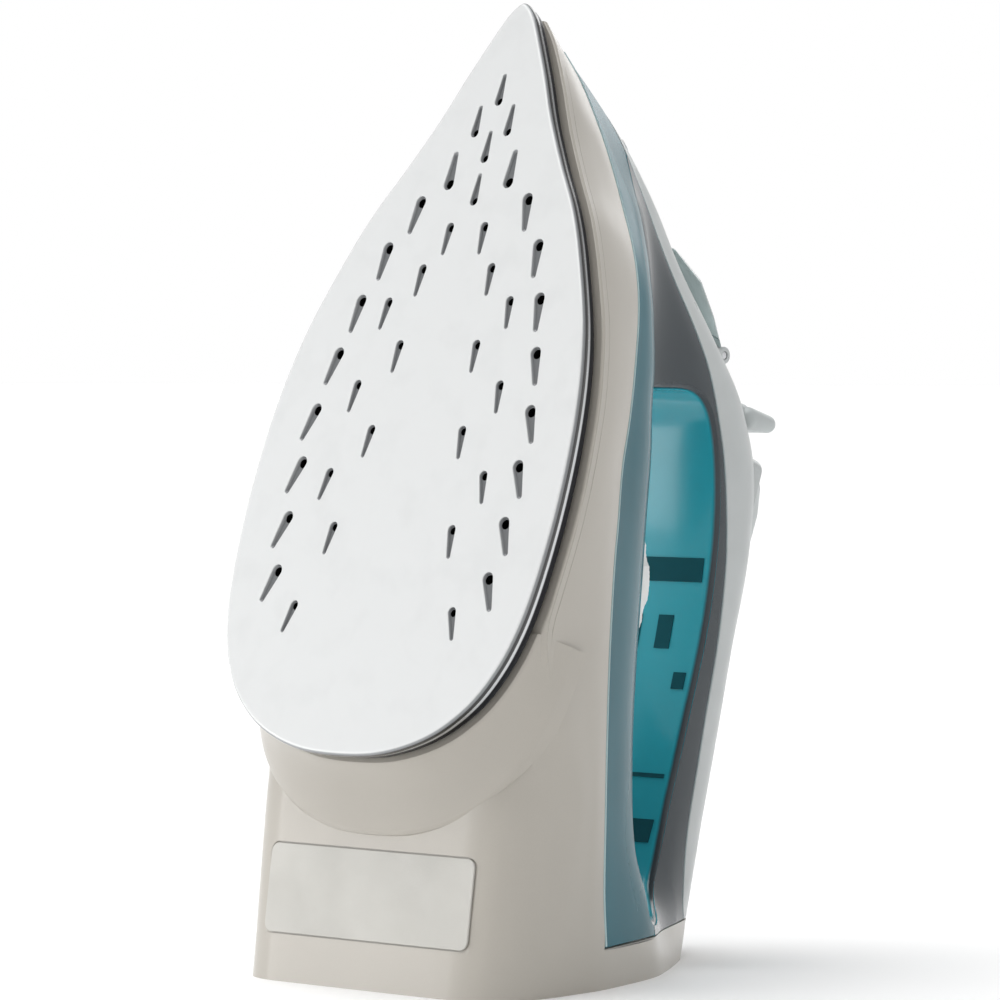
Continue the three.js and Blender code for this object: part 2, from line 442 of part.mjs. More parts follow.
// ---------------------------------------------------------------- heel
const SCREWS = [[-30, -32], [30, -32]];
const atScrews = (make) => SCREWS.map(([x, y]) => fromGround(make().translate(x, y, 0)));
const panelSkin = body(WALL + 0.45, 14, 1);
const panelBlock = fromGround(join(block(300, 300, 3).translate(0, 0, 1.5),
  block(23, 32, 10.6).translate(0, GLAND.y - 0.5, 5.3)));
const rearCover = cut(common(panelSkin, panelBlock),
  fromGround(block(20, 29, 9.6).translate(0, GLAND.y - 0.5, 4.6)),
  fromGround(block(12, 40, 9.6).translate(0, GLAND.y + 20, 4.6)),
  ...atScrews(() => cylinder(1.9, 20, 16).translate(0, 0, -1)),
  ...atScrews(() => cylinder(3.5, 2, 16).translate(0, 0, -0.1)));
const [rightScrew, leftScrew] = atScrews(() => cut(join(cylinder(3.1, 1.2, 16).translate(0, 0, 0.4),
  cylinder(1.6, 9, 12).translate(0, 0, 1.5)), block(4.4, 0.9, 1).translate(0, 0, 0.5),
  block(0.9, 4.4, 1).translate(0, 0, 0.5)));
const alongY = (g) => g.rotateX(-Math.PI / 2).translate(0, GLAND.y, GLAND.z);
const gland = fromGround(alongY(cut(join(cylinder(GLAND.r, GLAND.length - 8, 20), cylinder(GLAND.r - 0.5,
  GLAND.length, 20)), cylinder(GLAND.bore, 40, 20).translate(0, 0, -5)).translate(0, 0, -5.5)));
const glandSocket = fromGround(cut(block(18, 5, 8).translate(0, GLAND.y - 9, 4.9),
  cylinder(3.2, 20, 16).rotateX(-Math.PI / 2).translate(0, GLAND.y - 20, GLAND.z)));
const terminals = cut(block(14, 30, 10).translate(-238, 0, 48), ...[-9, 0, 9].map((y) =>
  cylinder(2, 20, 10).translate(-238, y, 46)));
const lens = join(cylinder(3, 3.4, 20).translate(-208, 0, 144),
  cylinder(3, 0.8, 20, 2.2).translate(-208, 0, 147.38));
const lamp = cylinder(2.2, 9, 16).translate(-208, 0, 133.5);
const frame = join(block(80, 22, 2).translate(-182, 0, 122), block(20, 8, 2).translate(-138, 0, 122),
  block(5, 30, 5).translate(-133.5, 0, 119.8), block(10, 6, 2.6).translate(-152, 8.5, 120.4));

// ---------------------------------------------------------------- blank plate on the heel's front
const HEEL_SLOPE = 11.85;
const plateAt = (g) => leaning(g, HEEL_SLOPE, 258, 0, keel(258));
const ratingRecess = plateAt(roundBlock(-13, 13, -39, 39, -2, 0.9, 3));
const ratingPlate = plateAt(roundBlock(-12.6, 12.6, -38.6, 38.6, 0.05, 0.6, 2.7));

// ---------------------------------------------------------------- holes in the shells
const sleeve = (r) => onDial(cylinder(r, 90, 20).translate(0, 0, -60));
const post = (s, y, r) => cylinder(r, 60, 16).translate(-s, y, 15);
tank = cut(tank, cut(tankHollow, sleeve(5.4), post(79, -12, 3.6)), sleeve(3.3), post(79, -12, 1.9),
  post(ROD.s, 0, 2), cylinder(2, 40, 16).translate(-80.5, 11, 38),
  cylinder(4.4, 40, 20).translate(-FILLER.s, 0, 40), nozzleHole());
grip = cut(grip, nozzleHole());
cover = join(cut(cover, roundBlock(-125.8, -91.7, -15.4, 15.4, 120, 160, 4.8),
  onSelector(cylinder(SELECTOR.r + 0.35, 60, 24).translate(0, 0, -30)),
  cylinder(FILLER.r + 0.35, 40, 20).translate(-FILLER.s, 0, 70),
  cylinder(3.3, 30, 20).translate(-208, 0, 138), nozzleHole()), ears);
lowerBody = cut(lowerBody, ratingRecess, fromGround(block(12, 40, 9.6).translate(0, 52, 4.6)));

// ---------------------------------------------------------------- materials and nodes
const nodes = [];
const paint = (hex, roughness, metalness = 0, opacity = 1) => new THREE.MeshStandardMaterial({
  color: hex, roughness, metalness, opacity, transparent: opacity < 1 });
const LOOK = {
  ceramic: paint(0xf2f3f3, 0.2), metal: paint(0xb9bbbd, 0.35, 1), steel: paint(0x9a9da0, 0.4, 1),
  dark: paint(0x2b2d2f, 0.6), cream: paint(0xd9d7cd, 0.35), teal: paint(0x5c8c99, 0.2, 0, 0.75),
  grip: paint(0x3f7f8c, 0.25, 0, 0.8), light: paint(0xd5d8d8, 0.35), grey: paint(0xb9bcbc, 0.4),
  clear: paint(0xb9cdcf, 0.15, 0, 0.6), white: paint(0xf4f4f2, 0.35), rubber: paint(0x242424, 0.8),
  amber: paint(0xd98a35, 0.2, 0, 0.7), brass: paint(0xb99b4e, 0.35, 1),
};
const add = (name, geometry, look) => nodes.push([name, geometry, look]);
add("soleplate", soleplate, "ceramic");
add("heater_casting", casting, "metal");
add("heating_element", element, "steel");
add("steam_chamber_cover", chamberCover, "metal");
add("skirt_gasket", gasket, "dark");
add("lower_body", biggest(lowerBody), "cream");
add("water_tank", biggest(tank), "teal");
add("handle_shell", biggest(grip), "grip");
add("handle_cover", biggest(cover), "light");
add("dial_ring", dialRing, "dark");
add("temperature_dial", dial, "white");
add("thermostat_shaft", shaft, "brass");
add("thermostat", thermostat, "steel");
add("thermal_fuse", fuse, "steel");
add("dosing_chamber", dosing, "brass");
add("valve_rod", rod, "brass");
add("steam_selector", selector, "grey");
add("spray_pump", spray.barrel, "white");
add("burst_pump", burst.barrel, "white");
add("spray_button", spray.button, "grey");
add("burst_button", burst.button, "grey");
add("spray_spring", spray.spring, "steel");
add("burst_spring", burst.spring, "steel");
add("button_bezel", bezel, "light");
add("suction_tube", suction, "clear");
add("spray_tube", sprayTube, "clear");
add("burst_tube", burstTube, "clear");
add("spray_nozzle", nozzle, "white");
add("nozzle_seat", nozzleSeat, "grey");
add("filler_inlet", inlet, "clear");
add("filler_lid", lid, "clear");
add("lid_hinge_pin", lidPin, "steel");
add("rear_cover", biggest(rearCover), "cream");
add("rear_screw_left", leftScrew, "steel");
add("rear_screw_right", rightScrew, "steel");
add("gland_socket", glandSocket, "dark");
add("cord_gland", gland, "rubber");
add("terminal_block", terminals, "white");
add("indicator_lens", lens, "amber");
add("indicator_lamp", lamp, "clear");
add("rating_plate", ratingPlate, "light");
add("handle_frame", frame, "dark");

// ---------------------------------------------------------------- meshes, stood on the heel
const iron = new THREE.Group();
iron.name = "steam_iron";
const standing = new THREE.Group();
standing.applyMatrix4(STAND);
iron.add(standing);
for (const [name, geometry, look] of nodes) {
  geometry.computeVertexNormals();
  const mesh = new THREE.Mesh(geometry, LOOK[look]);
  mesh.name = name;
  standing.add(mesh);
}

export default iron;
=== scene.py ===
import math

import bmesh
import bpy
import numpy as np
from mathutils import Matrix, Vector


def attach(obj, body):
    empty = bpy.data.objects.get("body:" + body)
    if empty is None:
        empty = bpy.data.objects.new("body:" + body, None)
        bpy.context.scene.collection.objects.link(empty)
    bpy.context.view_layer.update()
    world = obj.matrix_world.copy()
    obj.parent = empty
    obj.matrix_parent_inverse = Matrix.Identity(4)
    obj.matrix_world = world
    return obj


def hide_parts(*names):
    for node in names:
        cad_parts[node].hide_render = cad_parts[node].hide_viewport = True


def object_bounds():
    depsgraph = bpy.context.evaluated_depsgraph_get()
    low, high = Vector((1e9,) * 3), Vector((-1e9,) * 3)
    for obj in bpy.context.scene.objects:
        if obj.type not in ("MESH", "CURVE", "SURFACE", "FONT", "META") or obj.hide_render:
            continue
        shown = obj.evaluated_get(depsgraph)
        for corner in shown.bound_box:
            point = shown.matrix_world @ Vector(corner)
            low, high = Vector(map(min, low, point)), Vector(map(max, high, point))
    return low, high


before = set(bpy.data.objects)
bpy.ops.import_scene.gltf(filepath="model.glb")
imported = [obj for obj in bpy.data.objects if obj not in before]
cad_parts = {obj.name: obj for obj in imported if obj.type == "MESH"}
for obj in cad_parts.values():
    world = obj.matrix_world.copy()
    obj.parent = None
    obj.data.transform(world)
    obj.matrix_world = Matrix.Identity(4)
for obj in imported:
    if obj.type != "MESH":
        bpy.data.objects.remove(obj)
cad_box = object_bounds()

# Steam iron standing on its heel. The shapes are worked out in the ironing frame in millimetres:
# x forward with the nose at 0, y to the left, z up from the sole, and s = -x is the distance behind
# the nose. TO_ROW stands them on the heel, in metres, where the CAD nodes are.

# ---------------------------------------------------------------- driving dimensions
# standing: the sole's lean, the nose's height, the centring shift, the height of the panels' lower edge
LEAN = math.radians(20.3)
HEEL_DROP = 277.0
REST_SHIFT = 8.0
RIM = 11.4

# gap between panels, their rounded edge, wall, the skirt above the sole, and s where the heel's lip starts
GAP = 0.3
EDGE = 0.45
WALL = 2.4
SKIRT_Z = 8.0
HEEL_FROM = 185.3

# s behind the nose, y off the centre line, z, radius r, height h, tilt forward
DIAL = dict(s=152, z=65, r=31, h=9.6, tilt=15.2)
SELECTOR = dict(s=80.5, z=123, r=4.6, tilt=11.5)
PUMP = dict(s=108.5, y=8.2)
HINGE_X, HINGE_Z = -66.5, 111
KNUCKLE = 2.05
NOZZLE = dict(s=24.6, z=51.6, tilt=60, bore=4.6)
FILLER = dict(s=53, r=5.4)
SHAFT = dict(r=3.3, sleeve=5.4)
BURST_PIPE = dict(s=79, y=-12, r=1.9, sleeve=3.6)
SUCTION_PIPE = dict(s=80.5, y=11, r=2)
VALVE = dict(s=75, r=2)
LENS = dict(s=208, r=3)
# the cord's gland, placed standing
GLAND = dict(r=4.1, bore=3.0, y=26, z=4.7)

# beyond everything, for cutting blocks
FAR = 400
CT, ST = math.cos(LEAN), math.sin(LEAN)
STAND = Matrix(((0, 1, 0, 0), (ST, 0, CT, REST_SHIFT), (CT, 0, -ST, HEEL_DROP), (0, 0, 0, 1)))
METRE = 0.001
TO_ROW = Matrix.Scale(METRE, 4) @ STAND
UNSTAND = STAND.inverted()

# half outline of the soleplate: distance behind the nose, half width
SOLE = [
    (0, 0), (1.2, 2.3), (4, 4.9), (9, 7.9), (22.5, 15), (36, 21.5), (50, 29.5), (64, 38.2), (79, 45.2),
    (101, 53.2), (124, 57.6), (150, 59), (175, 57.6), (192, 54), (205, 47.5), (214, 38.8), (220, 28.5),
    (224, 15), (225, 0),
]

# body rails: distance behind the nose, half width, height
SKIRT = [
    (2.5, 2.4), (8, 7), (15, 11.4), (25, 16.8), (36, 22.2), (50, 30.2), (65, 39.3), (80, 46.2), (101, 53.8),
    (125, 58.3), (150, 59.8), (175, 58.4), (195, 56.2), (225, 53.6), (245, 52.4), (270, 51.6), (292, 51.2),
]
SEAM = [
    (2.5, 1.9, 9.4), (8, 4.6, 15), (15, 8.4, 21.5), (25, 14, 25.5), (36, 20, 28.5), (50, 27.5, 30.5),
    (65, 36, 31), (80, 43, 30), (101, 50, 27.4), (125, 53.6, 27.2), (150, 54.9, 31), (175, 54, 38.6),
    (195, 53, 46), (225, 51.4, 58), (245, 50.6, 66), (258, 50.4, 72), (292, 50, 84),
]
SHOULDER = [
    (2.5, 1.6, 10.1), (8, 3.6, 16.8), (15, 6.6, 27), (25, 10.6, 37), (36, 16, 41.5), (50, 24, 43.6),
    (65, 32, 43.2), (80, 38.4, 42.8), (101, 43.6, 44), (125, 45.4, 49), (150, 45.2, 55.4), (175, 44.2, 63),
    (200, 43.2, 71.5), (225, 42.6, 82.5), (240, 43, 93), (256, 44, 99), (292, 44, 106),
]
NECK = [
    (2.5, 1.3, 10.7), (8, 3, 17.8), (15, 5.5, 30), (25, 8.6, 44), (36, 12, 52), (50, 15.6, 58),
    (65, 18.2, 62), (80, 19.8, 64), (101, 21, 66), (125, 21.4, 70), (150, 21, 76), (175, 20.6, 84),
    (200, 20.8, 92), (225, 25, 102), (240, 33.5, 111), (256, 37.5, 114), (292, 38, 120),
]
SIDE = [
    (2.5, 1, 11.1), (8, 2.4, 18.5), (15, 4.6, 31.6), (25, 7.4, 47.6), (36, 9.8, 57.5), (50, 12.2, 70),
    (65, 15, 84.5), (80, 17.8, 97), (101, 19.5, 108), (125, 20.4, 116), (150, 20.6, 121.5),
    (175, 20, 123.5), (200, 20, 126), (225, 21.4, 129), (240, 25.4, 130), (256, 27.4, 131), (292, 27.4, 136),
]
CROWN = [
    (2.5, 0.7, 11.4), (8, 1.7, 19), (15, 3.5, 32.6), (25, 5.6, 50.8), (36, 7.4, 66), (50, 8.8, 82),
    (65, 11.2, 101.2), (80, 13.8, 117.4), (101, 15.9, 128.8), (125, 16.1, 133.8), (150, 15.1, 136.4),
    (175, 14.8, 139.2), (200, 14.6, 141.4), (225, 15, 143.2), (240, 15.6, 143.8), (292, 17, 145),
]
TOP = [
    (2.5, 0, 11.7), (8, 0, 19.6), (15, 0, 33.6), (20, 0, 43.3), (25, 0, 52.6), (36, 0, 68.8), (50, 0, 85.5),
    (65, 0, 105.4), (80, 0, 122.2), (101, 0, 133.8), (125, 0, 138.8), (150, 0, 141.4), (175, 0, 144),
    (200, 0, 146.2), (225, 0, 148), (240, 0, 148.6), (292, 0, 149.4),
]
KEEL = [(0, SKIRT_Z), (180, SKIRT_Z), (203, 14.5), (222, 19.4), (231, 20.6), (292, 33.4)]

# lines seen from the side: the finger opening, and where the shell is divided
WINDOW = [
    (101, 50), (95, 64), (89, 79), (86, 90), (88.5, 97.5), (96, 102.5), (109, 107.5), (124, 111.5),
    (142, 114.6), (165, 116.6), (195, 117.4), (214, 117.2), (228, 114.6), (237.5, 108.5), (240.6, 100),
    (238, 96.2), (229, 91.5), (212, 82.6), (180, 71.6), (152, 63.6), (125, 57), (110, 51.8),
]
COVER = [
    (8, 26), (15, 33), (22, 42), (30, 50), (37, 57.5), (48, 68), (57, 77), (65, 86), (73, 93), (82, 99),
    (90, 103.6), (100, 109), (115, 115), (131, 120), (160, 125), (184, 128), (212, 131.2), (236, 137.5),
    (260, 143),
]
SPLIT = [
    (20, 46.5), (40, 47), (60, 47), (80, 47.4), (92, 49.5), (104, 56), (125, 63), (152, 70), (180, 79),
    (212, 91), (236, 101), (252, 101.5), (262, 103),
]


# ---------------------------------------------------------------- curves
def monotone(points):
    """Smooth curve through (s, value) points that never overshoots them."""
    x, y = np.array(points, float).T
    d = np.diff(y) / np.diff(x)
    m = np.zeros(len(x))
    m[0], m[-1] = d[0], d[-1]
    a, b = d[:-1], d[1:]
    same = a * b > 0
    m[1:-1][same] = 2 * a[same] * b[same] / (a[same] + b[same])

    def at(s):
        s = np.clip(s, x[0], x[-1])
        i = np.clip(np.searchsorted(x, s, side="left") - 1, 0, len(x) - 2)
        h = x[i + 1] - x[i]
        t = (s - x[i]) / h
        return ((2 * t**3 - 3 * t * t + 1) * y[i] + (t**3 - 2 * t * t + t) * h * m[i]
                + (3 * t * t - 2 * t**3) * y[i + 1] + (t**3 - t * t) * h * m[i + 1])

    return at


def ease(a, b, s):
    t = np.clip((s - a) / (b - a), 0, 1)
    return t * t * (3 - 2 * t)


def through(points, per, closed=False):
    """Catmull-Rom curve through points, with per steps a span."""
    p = np.array(points, float)
    n = len(p)
    near = (lambda i: p[i % n]) if closed else (lambda i: p[min(n - 1, max(0, i))])
    out = []
    for i in range(n if closed else n - 1):
        a, b, c, d = near(i - 1), near(i), near(i + 1), near(i + 2)
        for t in np.arange(per) / per:
            cubic = (2 * a - 5 * b + 4 * c - d) * t * t + (3 * b - a - 3 * c + d) * t**3
            out.append(0.5 * (2 * b + (c - a) * t + cubic))
    if not closed:
        out.append(p[-1])
    return np.array(out)


def grown(outline, d):
    """A closed outline moved outwards by d (inwards when negative), with mitred corners."""
    p = np.array(outline, float)
    q = np.roll(p, -1, axis=0)
    side = d if np.sum(p[:, 0] * q[:, 1] - q[:, 0] * p[:, 1]) > 0 else -d
    v = (q - p) / np.linalg.norm(q - p, axis=1)[:, None]
    u = np.roll(v, 1, axis=0)
    k = side / np.maximum(1 + np.sum(u * v, axis=1), 0.35)
    return p + np.stack([(u[:, 1] + v[:, 1]) * k, -(u[:, 0] + v[:, 0]) * k], axis=1)


def circle(n):
    """n angles evenly round a circle."""
    return np.linspace(0, 2 * math.pi, n, endpoint=False)


def unit_circle(n):
    return np.column_stack([np.cos(circle(n)), np.sin(circle(n))])


def arc(cx, cy, r, start, end, n):
    a = np.radians(np.linspace(start, end, n))
    return np.stack([cx + r * np.cos(a), cy + r * np.sin(a)], axis=1)


def rounded(x0, x1, y0, y1, r, n=7):
    """Outline of a rectangle with round corners, anticlockwise."""
    return np.concatenate([
        arc(x1 - r, y0 + r, r, -90, 0, n), arc(x1 - r, y1 - r, r, 0, 90, n),
        arc(x0 + r, y1 - r, r, 90, 180, n), arc(x0 + r, y0 + r, r, 180, 270, n),
    ])


def quarter(r, count):
    """Insets and rises of a quarter round, from a face to the side."""
    return [(r * (1 - math.sin(t)), r * (1 - math.cos(t))) for t in np.radians(np.linspace(0, 90, count))]


def at_height(outline, z):
    """A flat outline laid level at z."""
    return np.insert(outline, 2, z, axis=1)


def at_side(outline, y):
    """A side-view outline stood at y across the iron."""
    return np.insert(outline, 1, y, axis=1)


# ---------------------------------------------------------------- meshes
def linked(obj):
    bpy.context.scene.collection.objects.link(obj)
    return obj


def object_of(bm):
    mesh = bpy.data.meshes.new("piece")
    bm.to_mesh(mesh)
    bm.free()
    return linked(bpy.data.objects.new("piece", mesh))


def new_object(verts, faces):
    mesh = bpy.data.meshes.new("piece")
    mesh.from_pydata(np.asarray(verts, float).tolist(), [], faces)
    bm = bmesh.new()
    bm.from_mesh(mesh)
    bpy.data.meshes.remove(mesh)
    if bm.calc_volume(signed=True) < 0:
        bmesh.ops.reverse_faces(bm, faces=bm.faces)
    return object_of(bm)


def skin(rings, closed_tube=False):
    """Rings of points joined into a closed surface, capped with one face at each end."""
    rings = np.asarray(rings, float)
    count, n = rings.shape[:2]
    i = np.arange(n)
    faces = []
    for r in range(count if closed_tube else count - 1):
        a, b = r * n, ((r + 1) % count) * n
        faces += np.stack([a + i, a + (i + 1) % n, b + (i + 1) % n, b + i], axis=1).tolist()
    if not closed_tube:
        faces += [list(range(n))[::-1], list(range((count - 1) * n, count * n))]
    return new_object(rings.reshape(-1, 3), faces)


def lathe(profile, sides=64):
    """A (radius, height) profile turned round +Z. It starts and ends on the axis, or closes on itself."""
    profile = np.array(profile, float)
    closed = profile[0][0] > 0
    off_axis = profile if closed else profile[1:-1]
    rings = np.stack([at_height(r * unit_circle(sides), z) for r, z in off_axis])
    if closed:
        return skin(rings, closed_tube=True)
    verts = np.concatenate([rings.reshape(-1, 3), [[0, 0, profile[0][1]], [0, 0, profile[-1][1]]]])
    last, foot, tip = (len(rings) - 1) * sides, len(rings) * sides, len(rings) * sides + 1
    faces = [[r + i, r + (i + 1) % sides, r + sides + (i + 1) % sides, r + sides + i]
             for r in range(0, last, sides) for i in range(sides)]
    for i in range(sides):
        faces += [[foot, (i + 1) % sides, i], [tip, last + i, last + (i + 1) % sides]]
    return new_object(verts, faces)


def soft_profile(r, z0, z1, edge):
    """Profile of a round block with rounded rims."""
    low = arc(r - edge, z0 + edge, edge, -90, 0, 5)
    high = arc(r - edge, z1 - edge, edge, 0, 90, 5)
    return np.concatenate([[[0, z0]], low, high, [[0, z1]]])


def cylinder(r, z0, z1, sides=48):
    return lathe([(0, z0), (r, z0), (r, z1), (0, z1)], sides)


def block(x0, x1, y0, y1, z0, z1):
    corners = [(x, y, z) for z in (z0, z1) for x, y in ((x0, y0), (x1, y0), (x1, y1), (x0, y1))]
    return skin([corners[:4], corners[4:]])


def pillow(outline, levels):
    """An outline raised through (inset, height) levels: a plate with shaped edges."""
    return skin([at_height(grown(outline, -inset), z) for inset, z in levels])


def hull(points):
    bm = bmesh.new()
    for p in np.unique(np.round(points, 4), axis=0):
        bm.verts.new(p)
    made = bmesh.ops.convex_hull(bm, input=bm.verts)
    spare = {v for v in made["geom_interior"] + made["geom_unused"] if isinstance(v, bmesh.types.BMVert)}
    bmesh.ops.delete(bm, geom=list(spare), context="VERTS")
    return object_of(bm)


def joined(parts):
    """Parts that stay loose in one piece."""
    bm = bmesh.new()
    for part in parts:
        bm.from_mesh(part.data)
        bpy.data.objects.remove(part)
    return object_of(bm)


def ball(r, x, y, z, n):
    """Points of a sphere, for hulls."""
    a, b = np.meshgrid(circle(n), np.radians(np.linspace(-90, 90, n // 2 + 1)))
    unit = np.stack([np.cos(a) * np.cos(b), np.sin(a) * np.cos(b), np.sin(b)], axis=-1).reshape(-1, 3)
    return [x, y, z] + r * unit


def pebble(pairs, *more, n=26):
    """A hull round pairs of balls, each (r, x, half their distance, z), and round more points."""
    balls = [ball(r, x, y, z, n) for r, x, half, z in pairs for y in (half, -half)]
    return hull(np.concatenate([*balls, *more]))


def sweep(points, r, sides=16, per=8):
    """A round bar along points, each (x, y, z)."""
    path = through(points, per)
    tangent = np.gradient(path, axis=0)
    tangent /= np.linalg.norm(tangent, axis=1)[:, None]
    side = np.cross(tangent[0], [0.3, 0.2, 0.9])
    a = circle(sides)[:, None]
    rings = []
    for p, t in zip(path, tangent):
        side = side - t * np.dot(side, t)
        side /= np.linalg.norm(side)
        rings.append(p + r * (np.cos(a) * side + np.sin(a) * np.cross(t, side)))
    return skin(rings)


def boolean(obj, tool, operation):
    """Cuts, joins or intersects obj with tool, and uses the tool up."""
    mod = obj.modifiers.new("cut", "BOOLEAN")
    mod.operation = operation
    mod.solver = "MANIFOLD"
    mod.object = tool
    bpy.context.view_layer.update()
    made = bpy.data.meshes.new_from_object(obj.evaluated_get(bpy.context.evaluated_depsgraph_get()))
    obj.modifiers.clear()
    spent = (obj.data, tool.data)
    obj.data = made
    bpy.data.objects.remove(tool)
    for mesh in spent:
        bpy.data.meshes.remove(mesh)
    return obj


def cut(obj, *tools):
    for tool in tools:
        boolean(obj, tool, "DIFFERENCE")
    return obj


def join(obj, tool):
    return boolean(obj, tool, "UNION")


def common(obj, tool):
    return boolean(obj, tool, "INTERSECT")


def copy_of(obj):
    return linked(bpy.data.objects.new("piece", obj.data.copy()))


def rotation(degrees, axis):
    return Matrix.Rotation(math.radians(degrees), 4, axis)


def moved(obj, matrix):
    obj.data.transform(matrix)
    return obj


def shift(obj, x, y, z):
    return moved(obj, Matrix.Translation((x, y, z)))


def placed(obj, at):
    """Leans a piece made along +Z forward, and sets its foot on the centre line."""
    return moved(obj, Matrix.Translation((-at["s"], 0, at["z"])) @ rotation(at["tilt"], "Y"))


def largest(obj):
    """Keeps the biggest loose part of a cut shell."""
    bm = bmesh.new()
    bm.from_mesh(obj.data)
    left, parts = set(bm.verts), []
    while left:
        part, ahead = [], [left.pop()]
        while ahead:
            vert = ahead.pop()
            part.append(vert)
            near = {edge.other_vert(vert) for edge in vert.link_edges} & left
            left -= near
            ahead += near
        parts.append(part)
    for part in sorted(parts, key=len)[:-1]:
        bmesh.ops.delete(bm, geom=part, context="VERTS")
    bm.to_mesh(obj.data)
    bm.free()
    return obj


def finish_piece(obj, name, material, nodes, on="iron", smooth=35, bevel=0.0, ground=False):
    """Stands a piece on the heel, gives it its look, and ties it to its CAD body. A piece that was made
    standing is a ground piece, and is only scaled."""
    obj.name = name
    obj.data.name = name
    obj.data.transform(Matrix.Scale(METRE, 4) if ground else TO_ROW)
    paint(obj, material)
    soften(obj, smooth, bevel)
    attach(obj, on)
    if nodes:
        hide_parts(*nodes)


def paint(obj, material):
    obj.data.materials.clear()
    obj.data.materials.append(material)


def soften(obj, smooth, bevel):
    """Smooth shading with sharp or, where bevel is above 0, rounded edges."""
    obj.data.shade_smooth()
    if bevel:
        mod = obj.modifiers.new("rounded edges", "BEVEL")
        mod.width = bevel * METRE
        mod.segments = 3
        mod.limit_method = "ANGLE"
        mod.angle_limit = math.radians(smooth)
    else:
        obj.data.set_sharp_from_angle(angle=math.radians(smooth))
    weighted = obj.modifiers.new("flat faces stay flat", "WEIGHTED_NORMAL")
    weighted.keep_sharp = True


# ---------------------------------------------------------------- outline of the sole, skin of the body
STEPS = 6
SOLE_FINE = through(SOLE + [(s, -w) for s, w in SOLE[-2:0:-1]], STEPS, closed=True)
SOLE_HALF_LENGTH = STEPS * (len(SOLE) - 1) + 1


def sole_outline(inset):
    """The sole's outline moved inwards, as (x, y) points; what would cross the centre line is left out."""
    moved_in = grown(SOLE_FINE, -inset)[:SOLE_HALF_LENGTH]
    k = len(moved_in) - 1
    while k > 0 and moved_in[k - 1][1] > 0:
        k -= 1
    a, b = moved_in[max(0, k - 1)], moved_in[k]
    nose = a[0] + (b[0] - a[0]) * a[1] / (a[1] - b[1]) if k else a[0]
    half = np.concatenate([[[nose, 0]], moved_in[max(1, k):-1], [[moved_in[-1][0], 0]]])
    both = np.concatenate([half, (half[1:-1] * [1, -1])[::-1]])
    return both * [-1, 1]


def sole_plate(inset, z0, z1, edge=0.0):
    outline = sole_outline(inset)
    if not edge:
        return pillow(outline, [(0, z0), (0, z1)])
    low = [(inset, z0 + rise) for inset, rise in quarter(edge, 4)]
    high = [(inset, z1 - rise) for inset, rise in quarter(edge, 4)[::-1]]
    return pillow(outline, low + high)


RAILS = [[monotone([(p[0], p[k]) for p in rail]) for k in (1, 2)]
         for rail in (SEAM, SHOULDER, NECK, SIDE, CROWN, TOP)]
skirt_at, keel_at = monotone(SKIRT), monotone(KEEL)
FRONT, BACK = 2.5, 292
WIDEST = cad_box[1][0] / METRE - 0.03
LEAST_RISE = 0.06
LEAST_HALF = 0.15

# the corner under the flank, across and up: sharp at the skirt, round at the heel
SKIRT_CORNER, HEEL_CORNER = (0.6, 1.2), (24, 22)
CORNER_CHANGES = (178, 228)


def section(s, per):
    """Half section of the body at s, as (y, z) points from the middle of the bottom to the top."""
    low, wide, heel = keel_at(s), skirt_at(s), ease(*CORNER_CHANGES, s)
    inward, upward = (a + (b - a) * heel for a, b in zip(SKIRT_CORNER, HEEL_CORNER))
    corner = [(wide - inward * (1 - math.sin(t)), low + upward * (1 - math.cos(t)) ** (1 + heel / 2))
              for t in np.radians([0, 22, 45, 68, 90])]
    rails = [(float(y(s)), float(z(s))) for y, z in RAILS]
    (seam_y, seam_z), corner_z = rails[0], corner[-1][1]
    flank = (wide + (seam_y - wide) * (0.3 - 0.1 * heel), corner_z + (seam_z - corner_z) * 0.45)
    half = np.concatenate([[(0, low)], through(corner + [flank] + rails, per)])
    half[:, 0] = np.minimum(half[:, 0], WIDEST)
    return half


def inwards(p, d):
    """A half section moved inwards by d."""
    t = np.zeros_like(p)
    t[1:-1] = p[2:] - p[:-2]
    t /= np.maximum(np.linalg.norm(t, axis=1), 1e-9)[:, None]
    out = np.column_stack([np.maximum(LEAST_HALF, p[:, 0] - d * t[:, 1]), p[:, 1] + d * t[:, 0]])
    out[0] = (0, p[0][1] + d)
    out[-1] = (0, p[-1][1] - d)
    return out


def body(inset, stations, per):
    """The body's skin, moved inwards. Each point lies above the one before it, so that no face folds over."""
    rise = LEAST_RISE if inset else LEAST_RISE * 2 / per
    rings = []
    for s in stations:
        half = section(s, per)
        if inset:
            half = inwards(half, inset)
        for i in range(1, len(half)):
            half[i][1] = max(half[i][1], half[i - 1][1] + rise)
        ring = np.concatenate([half, (half[1:-1] * [-1, 1])[::-1]])
        rings.append(np.insert(ring, 0, -s, axis=1))
    return skin(rings)


def half_width(points):
    """Half width of the body at side-view points (s, z)."""
    out = []
    for s, z in points:
        width, height = section(float(np.clip(s, FRONT, BACK)), 4)[1:].T
        out.append(np.interp(z, height, width))
    return np.array(out)


def across(outline, grow=0.0, flare=0.0):
    """A side-view outline swept across the iron. Near the body's skin it opens (or, when flare is negative,
    closes) by a quarter round, which rounds the edge of what it cuts."""
    far, r = 100, abs(flare)
    if not r:
        return skin([at_side(grown(outline, grow) * [-1, 1], y) for y in (-far, far)])
    width = np.maximum(half_width(grown(outline, grow)), r + 0.4)
    rings = []
    for t in np.radians([0, 15, 30, 45, 60, 75, 85]):
        flat = grown(outline, grow + math.copysign(r * (1 - math.cos(t)), flare)) * [-1, 1]
        rings.append(at_side(flat, width - r + r * math.sin(t)))
    rings.append(at_side(rings[-1][:, [0, 2]], far))
    mirror = [ring * [1, -1, 1] for ring in rings[::-1]]
    return skin(mirror + rings)


